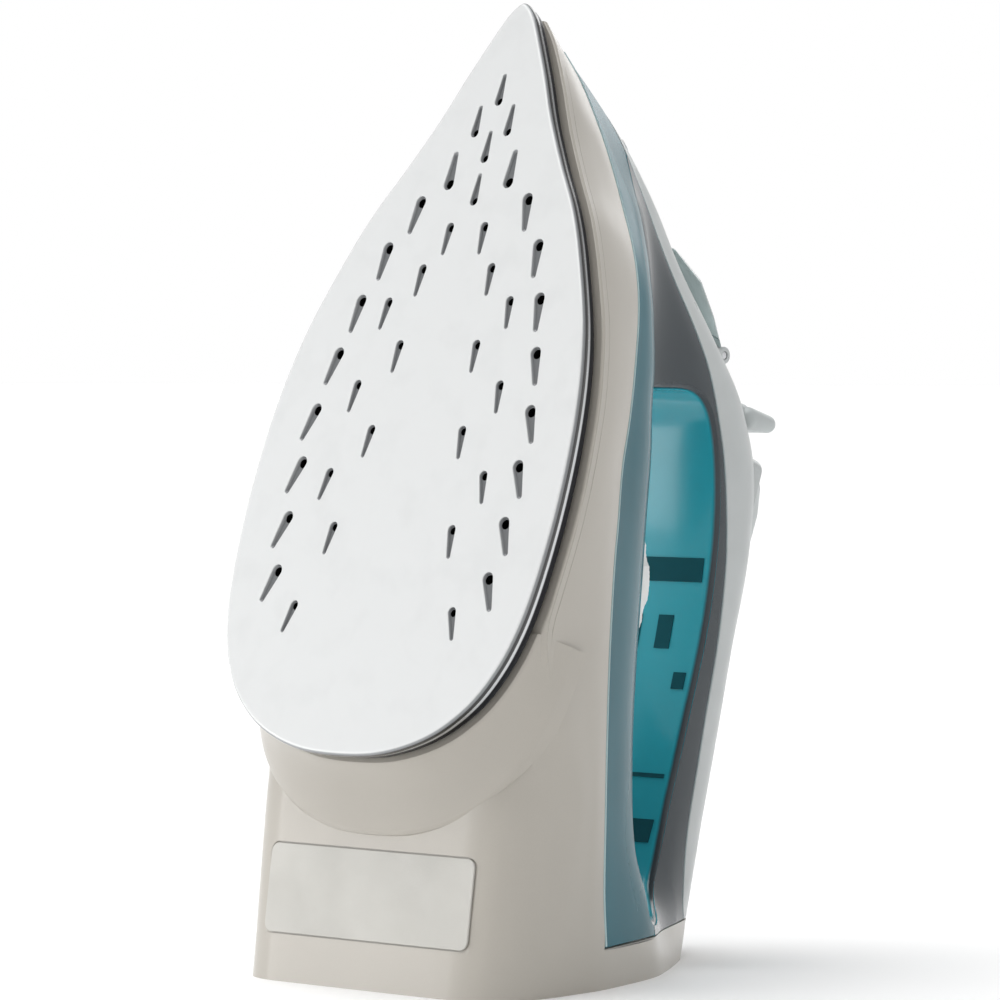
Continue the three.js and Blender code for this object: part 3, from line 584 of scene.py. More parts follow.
def line(points, start, stop, step):
    s = np.arange(start, stop + 1e-6, step)
    return np.column_stack([s, monotone(points)(s)])


def rim(z):
    """The point at height z on the panels' lower edge, which runs parallel to the ground."""
    return (HEEL_DROP - RIM - z * ST) / CT, z


seam_line = line([(s, z) for s, _, z in SEAM], 4, 254, 2.5)
split_line = line(SPLIT, 27, 243, 2.7)
nose_line, cover_line = line(COVER, 6, 24, 2), line(COVER, 30, 230, 2.5)
SEAM_FOOT, SPLIT_FOOT, COVER_FOOT, ABOVE = rim(71), rim(101.5), rim(137.2), 165
TANK_AREA = np.concatenate([seam_line, [SEAM_FOOT, SPLIT_FOOT], split_line[::-1], nose_line[::-1], [(3, 19)]])
GRIP_AREA = np.concatenate([split_line, [SPLIT_FOOT, COVER_FOOT], cover_line[::-1]])
COVER_AREA = np.concatenate([nose_line, cover_line, [COVER_FOOT, rim(ABOVE), (-10, ABOVE), (-10, 24)]])
WINDOW_FINE = through(WINDOW, STEPS, closed=True)


# ---------------------------------------------------------------- materials
class Look:
    """A procedural Principled material. Its patterns read object coordinates, so they follow the piece."""

    def __init__(self, name, colour, roughness, **constants):
        self.material = bpy.data.materials.new(name)
        self.material.use_nodes = True
        self.tree = self.material.node_tree
        self.shader = self.tree.nodes["Principled BSDF"]
        self.colour = colour
        for socket, value in {"Base_Color": (*colour, 1), "Roughness": roughness, **constants}.items():
            self.shader.inputs[socket.replace("_", " ")].default_value = value
        self.where = self.tree.nodes.new("ShaderNodeTexCoord").outputs["Object"]
        self.normal = None

    def node(self, kind, **values):
        made = self.tree.nodes.new(kind)
        for key, value in values.items():
            if key in made.inputs:
                made.inputs[key].default_value = value
            else:
                setattr(made, key, value)
        return made

    def link(self, output, target):
        self.tree.links.new(output, target)

    def calculate(self, operation, *terms):
        """A math node's result; each term is a socket or a number."""
        made = self.node("ShaderNodeMath", operation=operation)
        for socket, term in zip(made.inputs, terms):
            if isinstance(term, float):
                socket.default_value = term
            else:
                self.link(term, socket)
        return made.outputs["Value"]

    def noise(self, per_metre, detail=3.0, stretch=(1, 1, 1)):
        squeeze = self.node("ShaderNodeMapping", Scale=stretch)
        self.link(self.where, squeeze.inputs["Vector"])
        made = self.node("ShaderNodeTexNoise", Scale=per_metre, Detail=detail)
        self.link(squeeze.outputs["Vector"], made.inputs["Vector"])
        return made.outputs["Fac"]

    def depth(self):
        """How far a point lies above the sole's face, in metres."""
        made = self.node("ShaderNodeVectorMath", operation="DOT_PRODUCT")
        self.link(self.where, made.inputs[0])
        made.inputs[1].default_value = (0, CT, -ST)
        return self.calculate("ADD", made.outputs["Value"], (ST * HEEL_DROP - CT * REST_SHIFT) * METRE)

    def cells(self, per_metre):
        made = self.node("ShaderNodeTexVoronoi", Scale=per_metre)
        self.link(self.where, made.inputs["Vector"])
        return made.outputs["Distance"]

    def between(self, factor, low, high, start=0.3, end=0.7):
        """Runs from low to high while factor goes from start to end."""
        ends = {"From Min": start, "From Max": end, "To Min": low, "To Max": high}
        made = self.node("ShaderNodeMapRange", **ends)
        self.link(factor, made.inputs["Value"])
        return made.outputs["Result"]

    def shades(self, factor, *stops):
        """Colour that follows factor through (place, colour) stops."""
        ramp = self.node("ShaderNodeValToRGB")
        elements = ramp.color_ramp.elements
        while len(elements) < len(stops):
            elements.new(0.5)
        for element, (place, colour) in zip(elements, stops):
            element.position = place
            element.color = (*colour, 1)
        self.link(factor, ramp.inputs["Fac"])
        self.link(ramp.outputs["Color"], self.shader.inputs["Base Color"])
        return self

    def mottled(self, per_metre, amount, detail=4.0, stretch=(1, 1, 1)):
        """Base colour a little darker and lighter in patches."""
        dark = tuple(c * (1 - amount) for c in self.colour)
        light = tuple(min(1.0, c * (1 + amount)) for c in self.colour)
        return self.shades(self.noise(per_metre, detail, stretch), (0.32, dark), (0.68, light))

    def glossy_patches(self, per_metre, low, high, stretch=(1, 1, 1)):
        roughness = self.between(self.noise(per_metre, 5.0, stretch), low, high)
        self.link(roughness, self.shader.inputs["Roughness"])
        return self

    def bump(self, height, strength, distance):
        made = self.node("ShaderNodeBump", Strength=strength, Distance=distance)
        self.link(height, made.inputs["Height"])
        if self.normal is not None:
            self.link(self.normal, made.inputs["Normal"])
        self.normal = made.outputs["Normal"]
        self.link(self.normal, self.shader.inputs["Normal"])
        return self


def ceramic():
    """White enamel-like coating: fine orange peel under a clear gloss, with faint rubbing marks. Painted
    shade darkens the slots with their depth, to near black in the steam holes."""
    look = Look("ceramic coating", (0.67, 0.68, 0.68), 0.2, Coat_Weight=0.5, Coat_Roughness=0.06)
    patches = look.between(look.noise(90, 4.0), 0.985, 1.015)
    # painted shade: the deeper a point lies in a slot, the darker its colour, near black in the steam holes
    slot_shade = look.between(look.depth(), 1.0, 0.0, 0.0001, 0.0011)
    look.shades(look.calculate("MULTIPLY", patches, slot_shade), (0.0, (0.004, 0.004, 0.004)),
                (0.11, (0.02, 0.02, 0.02)), (0.2, (0.15, 0.155, 0.16)), (0.8, (0.30, 0.31, 0.32)),
                (0.97, (0.63, 0.64, 0.64)), (1.0, (0.67, 0.68, 0.68)))
    look.glossy_patches(240, 0.18, 0.22, (1, 1, 0.25))
    look.bump(look.noise(1400, 2.0), 0.05, 0.0002)
    return look.bump(look.noise(260, 5.0, (6, 1, 0.4)), 0.04, 0.0002).material


def bright_metal():
    """Machined edge of the casting, brushed along the rim. Above the edge the colour turns near black:
    painted shade for the shaded gap between the casting and the skirt.
    """
    look = Look("machined aluminium", (0.55, 0.56, 0.57), 0.22, Metallic=1.0)
    grain = look.between(look.noise(140, 4.0), -0.04, 0.04)
    # painted shade: near black above the machined edge, standing for the shaded gap under the skirt
    gap_shade = look.between(look.depth(), 0.0, 1.0, 0.0037, 0.0043)
    look.shades(look.calculate("ADD", gap_shade, grain), (0.0, (0.58, 0.59, 0.60)),
                (0.1, (0.52, 0.53, 0.54)), (0.5, (0.05, 0.05, 0.055)), (1.0, (0.018, 0.018, 0.02)))
    look.glossy_patches(300, 0.18, 0.28, (1, 1, 8))
    return look.bump(look.noise(900, 2.0, (1, 1, 9)), 0.03, 0.0001).material


def pearl():
    """Cream plastic with a fine mica fleck under a satin gloss."""
    look = Look("pearl cream plastic", (0.42, 0.39, 0.35), 0.3, Coat_Weight=0.25, Coat_Roughness=0.14,
                Sheen_Weight=0.08)
    fleck = look.between(look.cells(2400), 0.0, 1.0, 0.05, 0.5)
    mixed = look.calculate("MULTIPLY_ADD", fleck, 0.35, look.noise(28, 3.0))
    look.shades(mixed, (0.3, (0.405, 0.379, 0.336)), (1.0, (0.43, 0.403, 0.357)))
    look.glossy_patches(300, 0.29, 0.33)
    return look.bump(look.noise(2600, 2.0), 0.04, 0.0002).material


def plain(name, colour, roughness, patches, gloss, grain, bump, **constants):
    """Patchy colour, patchy gloss and a fine grain."""
    look = Look(name, colour, roughness, **constants)
    look.mottled(*patches).glossy_patches(*gloss)
    return look.bump(look.noise(*grain), *bump).material


def tinted(name, colour, transmission, roughness, coat=0.1, **constants):
    """Clear plastic with a tint, slightly cloudy, with flow marks from moulding."""
    return plain(name, colour, roughness, (24, 0.12, 3.0, (1, 1, 0.5)),
                 (40, roughness * 0.7, roughness * 1.5, (1, 1, 0.3)), (60, 2.0, (1, 1, 0.4)), (0.05, 0.0006),
                 Transmission_Weight=transmission, IOR=1.46, Coat_Weight=coat, Coat_Roughness=0.05,
                 **constants)


def grip():
    """Clear teal plastic whose colour follows which way a face turns: painted shade makes the outer sides
    dark slate, and painted light makes the faces towards the opening bright teal.
    """
    look = Look("grip teal", (0.05, 0.50, 0.60), 0.16, Transmission_Weight=0.25, IOR=1.46, Coat_Weight=0.1,
                Coat_Roughness=0.05)
    facing = look.node("ShaderNodeSeparateXYZ")
    look.link(look.node("ShaderNodeTexCoord").outputs["Normal"], facing.inputs["Vector"])
    # painted shade and light: the more a face turns to the side, the darker its colour
    side_shade = look.calculate("ABSOLUTE", facing.outputs["X"])
    cloud = look.between(look.noise(24, 3.0), -0.06, 0.06)
    look.shades(look.calculate("ADD", side_shade, cloud), (0.3, (0.042, 0.50, 0.61)),
                (0.7, (0.032, 0.046, 0.056)))
    look.glossy_patches(40, 0.1, 0.2, (1, 1, 0.3))
    return look.bump(look.noise(60, 2.0, (1, 1, 0.4)), 0.05, 0.0006).material


def moulded(name, colour, roughness=0.35, grain=2400, depth=0.12, **constants):
    """Plain moulded plastic with a spark-eroded grain."""
    look = Look(name, colour, roughness, **constants)
    look.mottled(60, 0.04).glossy_patches(90, roughness * 0.8, roughness * 1.25)
    look.bump(look.cells(grain), depth, 0.00012)
    return look.bump(look.noise(grain * 0.7, 2.0), depth * 0.6, 0.0001).material


CERAMIC, BRIGHT, PEARL, GRIP = ceramic(), bright_metal(), pearl(), grip()
CAST = plain("cast aluminium", (0.42, 0.43, 0.44), 0.5, (180, 0.15), (240, 0.4, 0.62), (1500, 3.0),
             (0.3, 0.0004), Metallic=1.0)
STEEL = plain("satin steel", (0.55, 0.56, 0.57), 0.3, (400, 0.06), (500, 0.22, 0.42, (1, 8, 1)),
              (2600, 2.0, (1, 8, 1)), (0.15, 0.0001), Metallic=1.0)
BRASS = plain("turned brass", (0.58, 0.42, 0.19), 0.28, (300, 0.1), (600, 0.2, 0.4, (1, 1, 6)),
              (2200, 2.0, (1, 1, 8)), (0.2, 0.0001), Metallic=1.0)
DARK = plain("dark heat-proof moulding", (0.026, 0.028, 0.032), 0.5, (220, 0.25), (150, 0.42, 0.6),
             (3200, 2.0), (0.25, 0.0002))
RUBBER = plain("matt rubber", (0.022, 0.022, 0.023), 0.75, (300, 0.3), (400, 0.65, 0.85), (1800, 4.0),
               (0.35, 0.0003))
TANK = tinted("tank blue-grey", (0.052, 0.165, 0.205), 0.2, 0.2, coat=0.0, Specular_IOR_Level=0.1)
LID = tinted("lid grey", (0.42, 0.52, 0.52), 0.45, 0.16)
CLEAR = tinted("clear tube", (0.70, 0.80, 0.80), 0.7, 0.12)
AMBER = tinted("amber lens", (0.85, 0.36, 0.07), 0.55, 0.1)
LIGHT = moulded("light grey shell", (0.46, 0.485, 0.485), 0.34, Coat_Weight=0.25, Coat_Roughness=0.15)
DIAL_WHITE = moulded("dial white", (0.78, 0.79, 0.78), 0.36)
CONTROL = moulded("control grey", (0.46, 0.49, 0.49), 0.4)
PUMP_WHITE = moulded("pump plastic", (0.66, 0.66, 0.64), 0.45)
# painted shade: dark strips for the shaded gaps and recesses under the handle
PAINTED_SHADE = moulded("painted shade strip", (0.010, 0.085, 0.105), 0.4, Specular_IOR_Level=0.05)
# painted highlight: a pale bar for the light caught along the tank's seam
SEAM_HIGHLIGHT = tinted("painted seam highlight", (0.50, 0.68, 0.70), 0.3, 0.12)
MARK = moulded("dial print", (0.10, 0.13, 0.15), 0.5)
PLATE_GREY = moulded("blank plate", (0.50, 0.49, 0.455), 0.4, 1500)


# ---------------------------------------------------------------- shells
# stations of the skin, closer together at the nose, and of what lies inside it
OUTER_STATIONS = np.concatenate([np.linspace(FRONT, 20, 16), np.linspace(22, BACK, 124)])
INNER_STATIONS = np.linspace(14, BACK, 80)

# the lip that runs round behind the sole and down to the heel: inset, set back, height above the sole
LIP = ((0.3, 0, SKIRT_Z), (-0.1, 0, SKIRT_Z + 0.3), (-0.3, 0.3, SKIRT_Z + 1), (-0.3, 2.6, 12),
       (-0.3, 7, 15.4), (-0.3, 11.2, 18), (-0.3, 15, 20.2), (-0.1, 15.9, 21), (-0.3, 16.2, 21.6),
       (-0.3, 16.4, 26))
PLATE = dict(s=258, z=float(keel_at(258)), tilt=11.85)


def make_outer():
    """The whole outside, with its lip and the finger opening, cut flat where it stands on the ground."""
    rear = SOLE_FINE[:, 0] > 150
    lip = skin([at_height((grown(SOLE_FINE, -inset) * [-1, 1] - [back, 0])[rear], z)
                for inset, back, z in LIP])
    lip = cut(lip, block(-HEEL_FROM, FAR, -FAR, FAR, -FAR, FAR))
    below_ground = moved(block(-FAR, FAR, -FAR, FAR, -FAR / 2, 0), UNSTAND)
    return cut(join(body(0, OUTER_STATIONS, 7), lip), across(WINDOW_FINE, 0, 2.2), below_ground)


outer = make_outer()
cavity = cut(body(WALL, INNER_STATIONS, 3), across(WINDOW_FINE, WALL))


def part_of_outer(area):
    """What the outside holds within a side-view area, with rounded edges."""
    return common(copy_of(outer), across(area, -GAP / 2, -EDGE))


def upright(r, s, y, z0, z1):
    return shift(cylinder(r, z0, z1), -s, y, 0)


def nozzle_hole():
    return placed(cylinder(NOZZLE["bore"], -15, 15), NOZZLE)


def cord_way(y0, y1):
    """The way for the cord under the heel, standing."""
    return block(-6, 6, y0, y1, -0.2, 9.4)


def make_lower_body():
    made = cut(copy_of(outer), across(TANK_AREA, GAP / 2, EDGE), across(GRIP_AREA, GAP / 2),
               across(COVER_AREA, GAP / 2), copy_of(cavity), sole_plate(3.45, SKIRT_Z - 1, 24))
    recess = pillow(rounded(-13, 13, -39, 39, 3), [(0, -2), (0, 0.55), (-0.35, 0.9)])
    return largest(cut(made, placed(recess, PLATE), moved(cord_way(32, 72), UNSTAND)))


def make_tank():
    """The tank, with a sleeve round each thing that passes through its water."""
    shaft, burst = (-60, 30), (BURST_PIPE["s"], BURST_PIPE["y"], 15, 75)
    hollow = common(copy_of(cavity), across(grown([p for p in TANK_AREA if p[0] > 20], -WALL)))
    hollow = cut(hollow, placed(cylinder(SHAFT["sleeve"], *shaft), DIAL),
                 upright(BURST_PIPE["sleeve"], *burst))
    made = cut(part_of_outer(TANK_AREA), hollow, placed(cylinder(SHAFT["r"], *shaft), DIAL),
               upright(BURST_PIPE["r"], *burst), upright(VALVE["r"], VALVE["s"], 0, 15, 75),
               upright(SUCTION_PIPE["r"], SUCTION_PIPE["s"], SUCTION_PIPE["y"], 38, 78),
               upright(FILLER["r"] - 1, FILLER["s"], 0, 40, 80), nozzle_hole())
    return largest(made)


def make_grip():
    return largest(cut(part_of_outer(GRIP_AREA), copy_of(cavity), nozzle_hole()))


def pin_along(r, length, edge=0.0):
    """A pin across the iron, on the lid's hinge."""
    ends = -length / 2, length / 2
    pin = lathe(soft_profile(r, *ends, edge), 40) if edge else cylinder(r, *ends, 40)
    return moved(pin, Matrix.Translation((HINGE_X, 0, HINGE_Z)) @ rotation(90, "X"))


def make_cover():
    """The cover, with holes for what stands in it and ears for the lid's pin."""
    well = pillow(rounded(-125.8, -91.7, -15.4, 15.4, 4.8), [(0, 120), (0, 160)])
    made = cut(part_of_outer(COVER_AREA), copy_of(cavity), well,
               placed(cylinder(SELECTOR["r"] + 0.35, -30, 30), SELECTOR),
               upright(FILLER["r"] + 0.35, FILLER["s"], 0, 70, 110),
               upright(LENS["r"] + GAP, LENS["s"], 0, 138, 168), nozzle_hole())
    root = block(HINGE_X - 4.1, HINGE_X + 0.9, -8.4, 8.4, HINGE_Z - 7.4, HINGE_Z + 0.6)
    between = block(HINGE_X - 10, HINGE_X + 10, -6.4, 6.4, HINGE_Z - 15, HINGE_Z + 15)
    ears = cut(join(pin_along(2.6, 16.8, 0.4), root), pin_along(1.24, 30), between)
    return largest(join(made, ears))


finish_piece(make_lower_body(), "lower_shell", PEARL, ["lower_body"])
finish_piece(make_tank(), "tank_shell", TANK, ["water_tank"])
finish_piece(make_grip(), "grip_shell", GRIP, ["handle_shell"])
finish_piece(make_cover(), "cover_shell", LIGHT, ["handle_cover"])


# ---------------------------------------------------------------- soleplate, casting, gasket
# slots: distance behind the nose, off the centre line, fan-out in degrees, long
TIP_SLOTS = [(27, 0, 0, 0), (44.5, 0, 0, 0), (57.5, 0, 0, 0), (36.5, 6.2, 0, 0), (51.5, 11.3, 0, 1)]
FAN_SLOTS = [
    (65, 21, 9.5, 1), (79, 29, 6, 1), (95, 34.5, 8, 1), (111, 38.5, 15, 1), (128, 42, 19, 1),
    (144, 42.5, 20, 1), (160.5, 42.5, 20, 1), (176.5, 41.5, 20, 1), (72.5, 6.7, 3, 0), (85, 13.3, 3.5, 0),
    (95, 23.5, 7, 0), (108, 14.8, 3, 0), (120, 27.5, 7, 0), (133.5, 17.7, 6.5, 0), (146.5, 30, 12, 0),
    (162.5, 23, 8.5, 0), (186, 31, 16, 0),
]


# a slot's walls, from above the face to its floor: share of its size, depth
SLOT_WALL = ((1.04, -0.2), (1.0, 0.0), (0.955, 0.16), (0.86, 0.55), (0.7, 0.9))


def slot_cutters(s, y, fan, is_long, head_at_rear):
    """A teardrop recess with sloping sides, and the steam hole in its head."""
    length, r = (12, 1.9) if is_long else (10, 1.45)
    head, tail = r - length / 2, length / 2 - r / 2
    outline = np.concatenate([arc(head, 0, r, 83, 277, 17), arc(tail, 0, r / 2, -83, 83, 11)])
    middle = np.array([head, 0])
    rings = []
    for share, z in SLOT_WALL:
        shrink = [1 - (1 - share) * r / length * 2, share]
        rings.append(at_height(middle + (outline - middle) * shrink, z))
    hole = shift(cylinder(0.74 * r, -0.5, 3.5, 24), head + 0.06 * r, 0, 0)
    place = Matrix.Translation((-s, y, 0)) @ rotation(fan if head_at_rear else fan + 180, "Z")
    return moved(skin(rings), place), moved(hole, place)


def make_sole():
    sole = pillow(SOLE_FINE * [-1, 1], quarter(1.15, 7) + [(0, 2.0), (0.12, 2.28), (0.4, 2.4)])
    for rows, head_at_rear in ((TIP_SLOTS, True), (FAN_SLOTS, False)):
        for s, y, fan, is_long in rows:
            for side in (1, -1) if y else (1,):
                cut(sole, *slot_cutters(s, y * side, -fan * side, is_long, head_at_rear))
    return sole


def make_casting():
    made = join(sole_plate(0.7, 2.7, 5.6, 0.4), sole_plate(9, 5.2, 13))
    return cut(made, sole_plate(12, 2.6, 4.6))


def make_gasket():
    return cut(sole_plate(2.2, 5.9, 7.7, 0.35), sole_plate(8.6, 5, 9))


finish_piece(make_sole(), "sole_coated", CERAMIC, ["soleplate"], smooth=40)
finish_piece(make_casting(), "casting_rim", BRIGHT, ["heater_casting"])
finish_piece(make_gasket(), "rim_gasket", DARK, ["skirt_gasket"])


# ---------------------------------------------------------------- dial
def make_dial():
    """Knurled cup: twelve soft scallops round a crowned disc, ribbed between them."""
    r, top, sides = DIAL["r"], DIAL["h"] + 3, 360
    a = circle(sides)
    scallop = np.clip(np.cos(12 * (a - math.radians(15))), 0.35, 1) - 0.35
    knurl = np.cos(144 * a) > 0
    # radius, height, and how far the scallops reach there
    outside = [(27.5, 3.2, 0), (r - 0.9, 3.0, 0), (r - 0.3, 3.25, 1), (r, 3.9, 1), (r, top - 1.9, 1),
               (r - 0.25, top - 1.1, 1), (r - 0.8, top - 0.45, 0.8), (r - 1.6, top - 0.1, 0.4),
               (r - 2.6, top, 0), (24, top, 0), (23.2, top - 0.5, 0), (8, top - 0.5, 0),
               (7.2, top - 0.2, 0), (0.2, top - 0.1, 0)]
    inside = [(0.2, 7.9, 0), (4.5, 7.9, 0), (27.0, 7.9, 0), (27.5, 7.5, 0)]
    rings = []
    for radius, z, share in outside + inside:
        radii = radius - share * (1.25 * scallop + 0.12 * knurl)
        rings.append(at_height(radii[:, None] * unit_circle(sides), z))
    hub = lathe([(0, 3), (5, 3), (5, top - 0.3), (0, top - 0.3)], 48)
    return cut(join(skin(rings, closed_tube=True), hub), cylinder(2.9, 2.0, 8.5))


def make_dial_marks():
    """Three dots, a growing wedge and a pointer on the dial's face."""
    face, count = DIAL["h"] + 2.42, 91
    marks = []
    for k, degrees in enumerate((70, 130, 190)):
        for i in range(k + 1):
            a = math.radians(degrees + (i - k / 2) * 7)
            dot = lathe(soft_profile(0.85, face, face + 0.28, 0.1), 20)
            marks.append(shift(dot, 20 * math.cos(a), 20 * math.sin(a), 0))
    radii, angles = np.linspace(18.4, 16.8, count)[:, None], np.radians(np.linspace(300, 40, count))
    swelling = radii * np.column_stack([np.cos(angles), np.sin(angles)])
    wedge = np.concatenate([arc(0, 0, 16.6, 40, 300, 90), swelling])
    marks.append(pillow(wedge, [(0, face), (0, face + 0.25)]))
    marks.append(pillow([(25.5, -1.2), (28.2, 0), (25.5, 1.2)], [(0, face + 0.5), (0, face + 0.75)]))
    return joined(marks)


def make_dial_seat():
    return cut(lathe(soft_profile(27, 0.9, 3.1, 0.4), 96), cylinder(22, -1, 5, 96))


finish_piece(placed(make_dial(), DIAL), "dial_knob", DIAL_WHITE, ["temperature_dial"],
             on="dial", smooth=30)
finish_piece(placed(make_dial_marks(), DIAL), "dial_print", MARK, [], on="dial")
finish_piece(placed(make_dial_seat(), DIAL), "dial_seat", DARK, ["dial_ring"])


# ---------------------------------------------------------------- selector, buttons
def make_selector():
    """A round stem with a fin on top that has three grooves on each face."""
    fin = pebble([(3.5, 0, 3.2, 10.6), (2.66, -0.4, 3.4, 20)])
    stem = lathe([(0, -7), (4.3, -7), (4.6, -6.7), (4.6, 10.4), (4.2, 10.9), (0, 11)], 64)
    made = join(stem, fin)
    for z in (14.6, 16.6, 18.6):
        for side in (1, -1):
            groove = moved(cylinder(0.5, -8, 8, 16), rotation(90, "X"))
            made = cut(made, shift(groove, side * 3.35 - 0.3, 0, z))
    return made


def make_button(side):
    """Half of a domed pad with a finger rest in it, on a stem that reaches the pump."""
    y0, y1 = (0.9, 13.4) if side > 0 else (-13.4, -0.9)
    foot = rounded(-123, -94.5, -13.4, 13.4, 3)
    dome = pebble([(5, -100, 6.4, 135.4), (5, -107, 6.4, 136.8), (5, -117.4, 6.4, 136.2)],
                  at_height(foot, 120), at_height(foot, 132.4), n=34)
    pad = pillow(rounded(-123, -94.5, y0, y1, 3, 9), [(0.3, 132), (0, 132.3), (0, 150)])
    rest = shift(lathe(soft_profile(3.3, -1, 1, 0.9), 40), -104, (y0 + y1) / 2, 142.2)
    return join(cut(common(pad, dome), rest), upright(1.8, PUMP["s"], side * PUMP["y"], 123.5, 132.5))


def make_bezel():
    made = pillow(rounded(-125.4, -92.1, -15, 15, 4.4, 10),
                  [(0.3, 127.6), (0, 127.9), (0, 131.7), (0.15, 132.1), (0.5, 132.4)])
    for y0, y1 in ((0.5, 13.8), (-13.8, -0.5)):
        made = cut(made, pillow(rounded(-123.4, -94.1, y0, y1, 3.4, 10),
                                [(0, 126), (0, 131.9), (-0.4, 132.5), (-0.4, 140)]))
    return made


finish_piece(placed(make_selector(), SELECTOR), "selector_lever", CONTROL, ["steam_selector"],
             on="selector", smooth=40)
for name, side in (("spray", 1), ("burst", -1)):
    finish_piece(make_button(side), name + "_pad", CONTROL, [name + "_button"], on=name,
                 bevel=0.35)
finish_piece(make_bezel(), "bezel_frame", LIGHT, ["button_bezel"])


# ---------------------------------------------------------------- nozzle, filler
def make_nozzle():
    made = lathe([(0, -6), (2.6, -6), (2.6, 2.6), (2.5, 2.95), (2.2, 3.25), (1.75, 3.75), (1.5, 3.8),
                  (0, 3.8)])
    return cut(made, cylinder(0.8, -3, 9, 24))


def make_nozzle_seat():
    made = lathe([(0, -2.8), (4.3, -2.8), (4.3, 1.0), (4.1, 1.4), (3.7, 1.6), (0, 1.6)])
    return cut(made, cylinder(2.95, -6, 6))


def make_lid():
    """A rounded lid that hangs on the pin between the cover's ears and lies on the cover."""
    knuckle = KNUCKLE * unit_circle(32) + [HINGE_X, HINGE_Z]
    made = pebble([(3.2, -46.4, 3, 82.6), (5.4, -52.5, 3, 93), (4.6, -59, 3.2, 102.2)],
                  at_side(knuckle, -6), at_side(knuckle, 6))
    made = cut(made, body(-0.4, OUTER_STATIONS, 7), pin_along(1.26, 20))
    room_for_ears = [block(-74.2, -62.2, y - 4, y + 4, 85, 125) for y in (10.1, -10.1)]
    return largest(cut(made, *room_for_ears))


def make_inlet():
    r, s = FILLER["r"], FILLER["s"]
    made = common(upright(r, s, 0, 47.6, 84.2), body(0.5, INNER_STATIONS, 3))
    return cut(made, upright(r - 1.3, s, 0, 40, 100))


finish_piece(placed(make_nozzle(), NOZZLE), "nozzle_tip", PUMP_WHITE,
             ["spray_nozzle"])
finish_piece(placed(make_nozzle_seat(), NOZZLE), "nozzle_collar", CONTROL,
             ["nozzle_seat"])
finish_piece(make_lid(), "lid_clear", LID, ["filler_lid"], on="lid", smooth=40)
finish_piece(make_inlet(), "inlet_neck", CLEAR, ["filler_inlet"])
finish_piece(pin_along(1.2, 16.4, 0.25), "hinge_pin", STEEL, ["lid_hinge_pin"])


# ---------------------------------------------------------------- heel: panel, screws, gland, blank plate
SCREWS = ((-30, -32), (30, -32))


def make_rear_cover():
    """The plate under the heel, with a housing for the gland, screw holes and five grooves. Made standing."""
    inside = moved(body(WALL + 0.45, np.linspace(14, BACK, 90), 3), STAND)
    made = common(inside, join(block(-150, 150, -150, 150, 0, 3), block(-11.5, 11.5, 9.5, 41.5, 0, 10.6)))
    made = cut(made, block(-10, 10, 11, 40, -0.2, 9.4), cord_way(26, 66))
    for x, y in SCREWS:
        made = cut(made, shift(cylinder(1.9, -1, 19), x, y, 0), shift(cylinder(3.5, -0.1, 1.9), x, y, 0))
    for y in range(-22, 0, 5):
        made = cut(made, block(-26, 26, y - 0.7, y + 0.7, -1, 0.5))
    return largest(made)


def make_screw(x, y):
    """A cross-slotted screw, standing on its head."""
    head = lathe([(0, 0.4), (2.6, 0.4), (3.0, 0.65), (3.1, 1.0), (3.1, 1.6), (0, 1.6)], 40)
    thread = [(1.6 if k % 2 else 1.35, 1.6 + 0.4 * k) for k in range(22)]
    made = join(head, lathe([(0, 1.5)] + thread + [(0, 10.5)], 24))
    made = cut(made, block(-2.2, 2.2, -0.45, 0.45, 0, 1), block(-0.45, 0.45, -2.2, 2.2, 0, 1))
    return shift(made, x, y, 0)


def make_gland():
    """A rubber sleeve with five ribs, lying along the cord's way. Made standing."""
    r, bore = GLAND["r"], GLAND["bore"]
    ribs = []
    for k in range(5):
        z = 4.2 + 1.6 * k
        ribs += [(r - 0.6, z), (r - 0.5, z + 0.1), (r - 0.5, z + 0.8), (r - 0.6, z + 0.9), (r - 1.0, z + 1.0),
                 (r - 1.0, z + 1.5)]
    outline = [(bore, -5.5), (r - 0.2, -5.5), (r, -5.2), (r, 3.2), (r - 0.3, 3.5)] + ribs[:-1]
    outline += [(r - 1.0, 11.3), (bore + 0.1, 11.5), (bore, 11.4)]
    return shift(moved(lathe(outline, 48), rotation(-90, "X")), 0, GLAND["y"], GLAND["z"])


def make_plate():
    return pillow(rounded(-12.6, 12.6, -38.6, 38.6, 2.7), [(0.35, 0.05), (0.1, 0.12), (0, 0.3), (0, 0.6)])


def make_lens():
    r = LENS["r"]
    dome = [(r, 147.2), (r - 0.2, 147.7), (r - 0.7, 148.05), (r - 1.6, 148.15), (0, 148.18)]
    return shift(lathe([(0, 144), (r, 144)] + dome, 48), -LENS["s"], 0, 0)


for (x, y), node in zip(SCREWS, ("rear_screw_right", "rear_screw_left")):
    finish_piece(make_screw(x, y), node + "_head", STEEL, [node], ground=True)
finish_piece(make_rear_cover(), "rear_panel", PEARL, ["rear_cover"], ground=True)
finish_piece(make_gland(), "gland_sleeve", RUBBER, ["cord_gland"], on="swivel", ground=True)
finish_piece(placed(make_plate(), PLATE), "blank_plate", PLATE_GREY, ["rating_plate"])
finish_piece(make_lens(), "lens_dome", AMBER, ["indicator_lens"])


# ---------------------------------------------------------------- painted shade strips and seam highlight
# each painted shade strip: from and to behind the nose, from and to across
SHADE_STRIPS = (
    (129.5, 136.5, -17.4, 17.4), (146.5, 156.5, 3.2, 8.8), (163.5, 168.5, 12.6, 17.2),
    (194.2, 195.4, 4, 17.2), (208, 215, -17.2, 17.2), (146.5, 156.5, -8.8, -3.2),
    (163.5, 168.5, -17.2, -12.6),
)


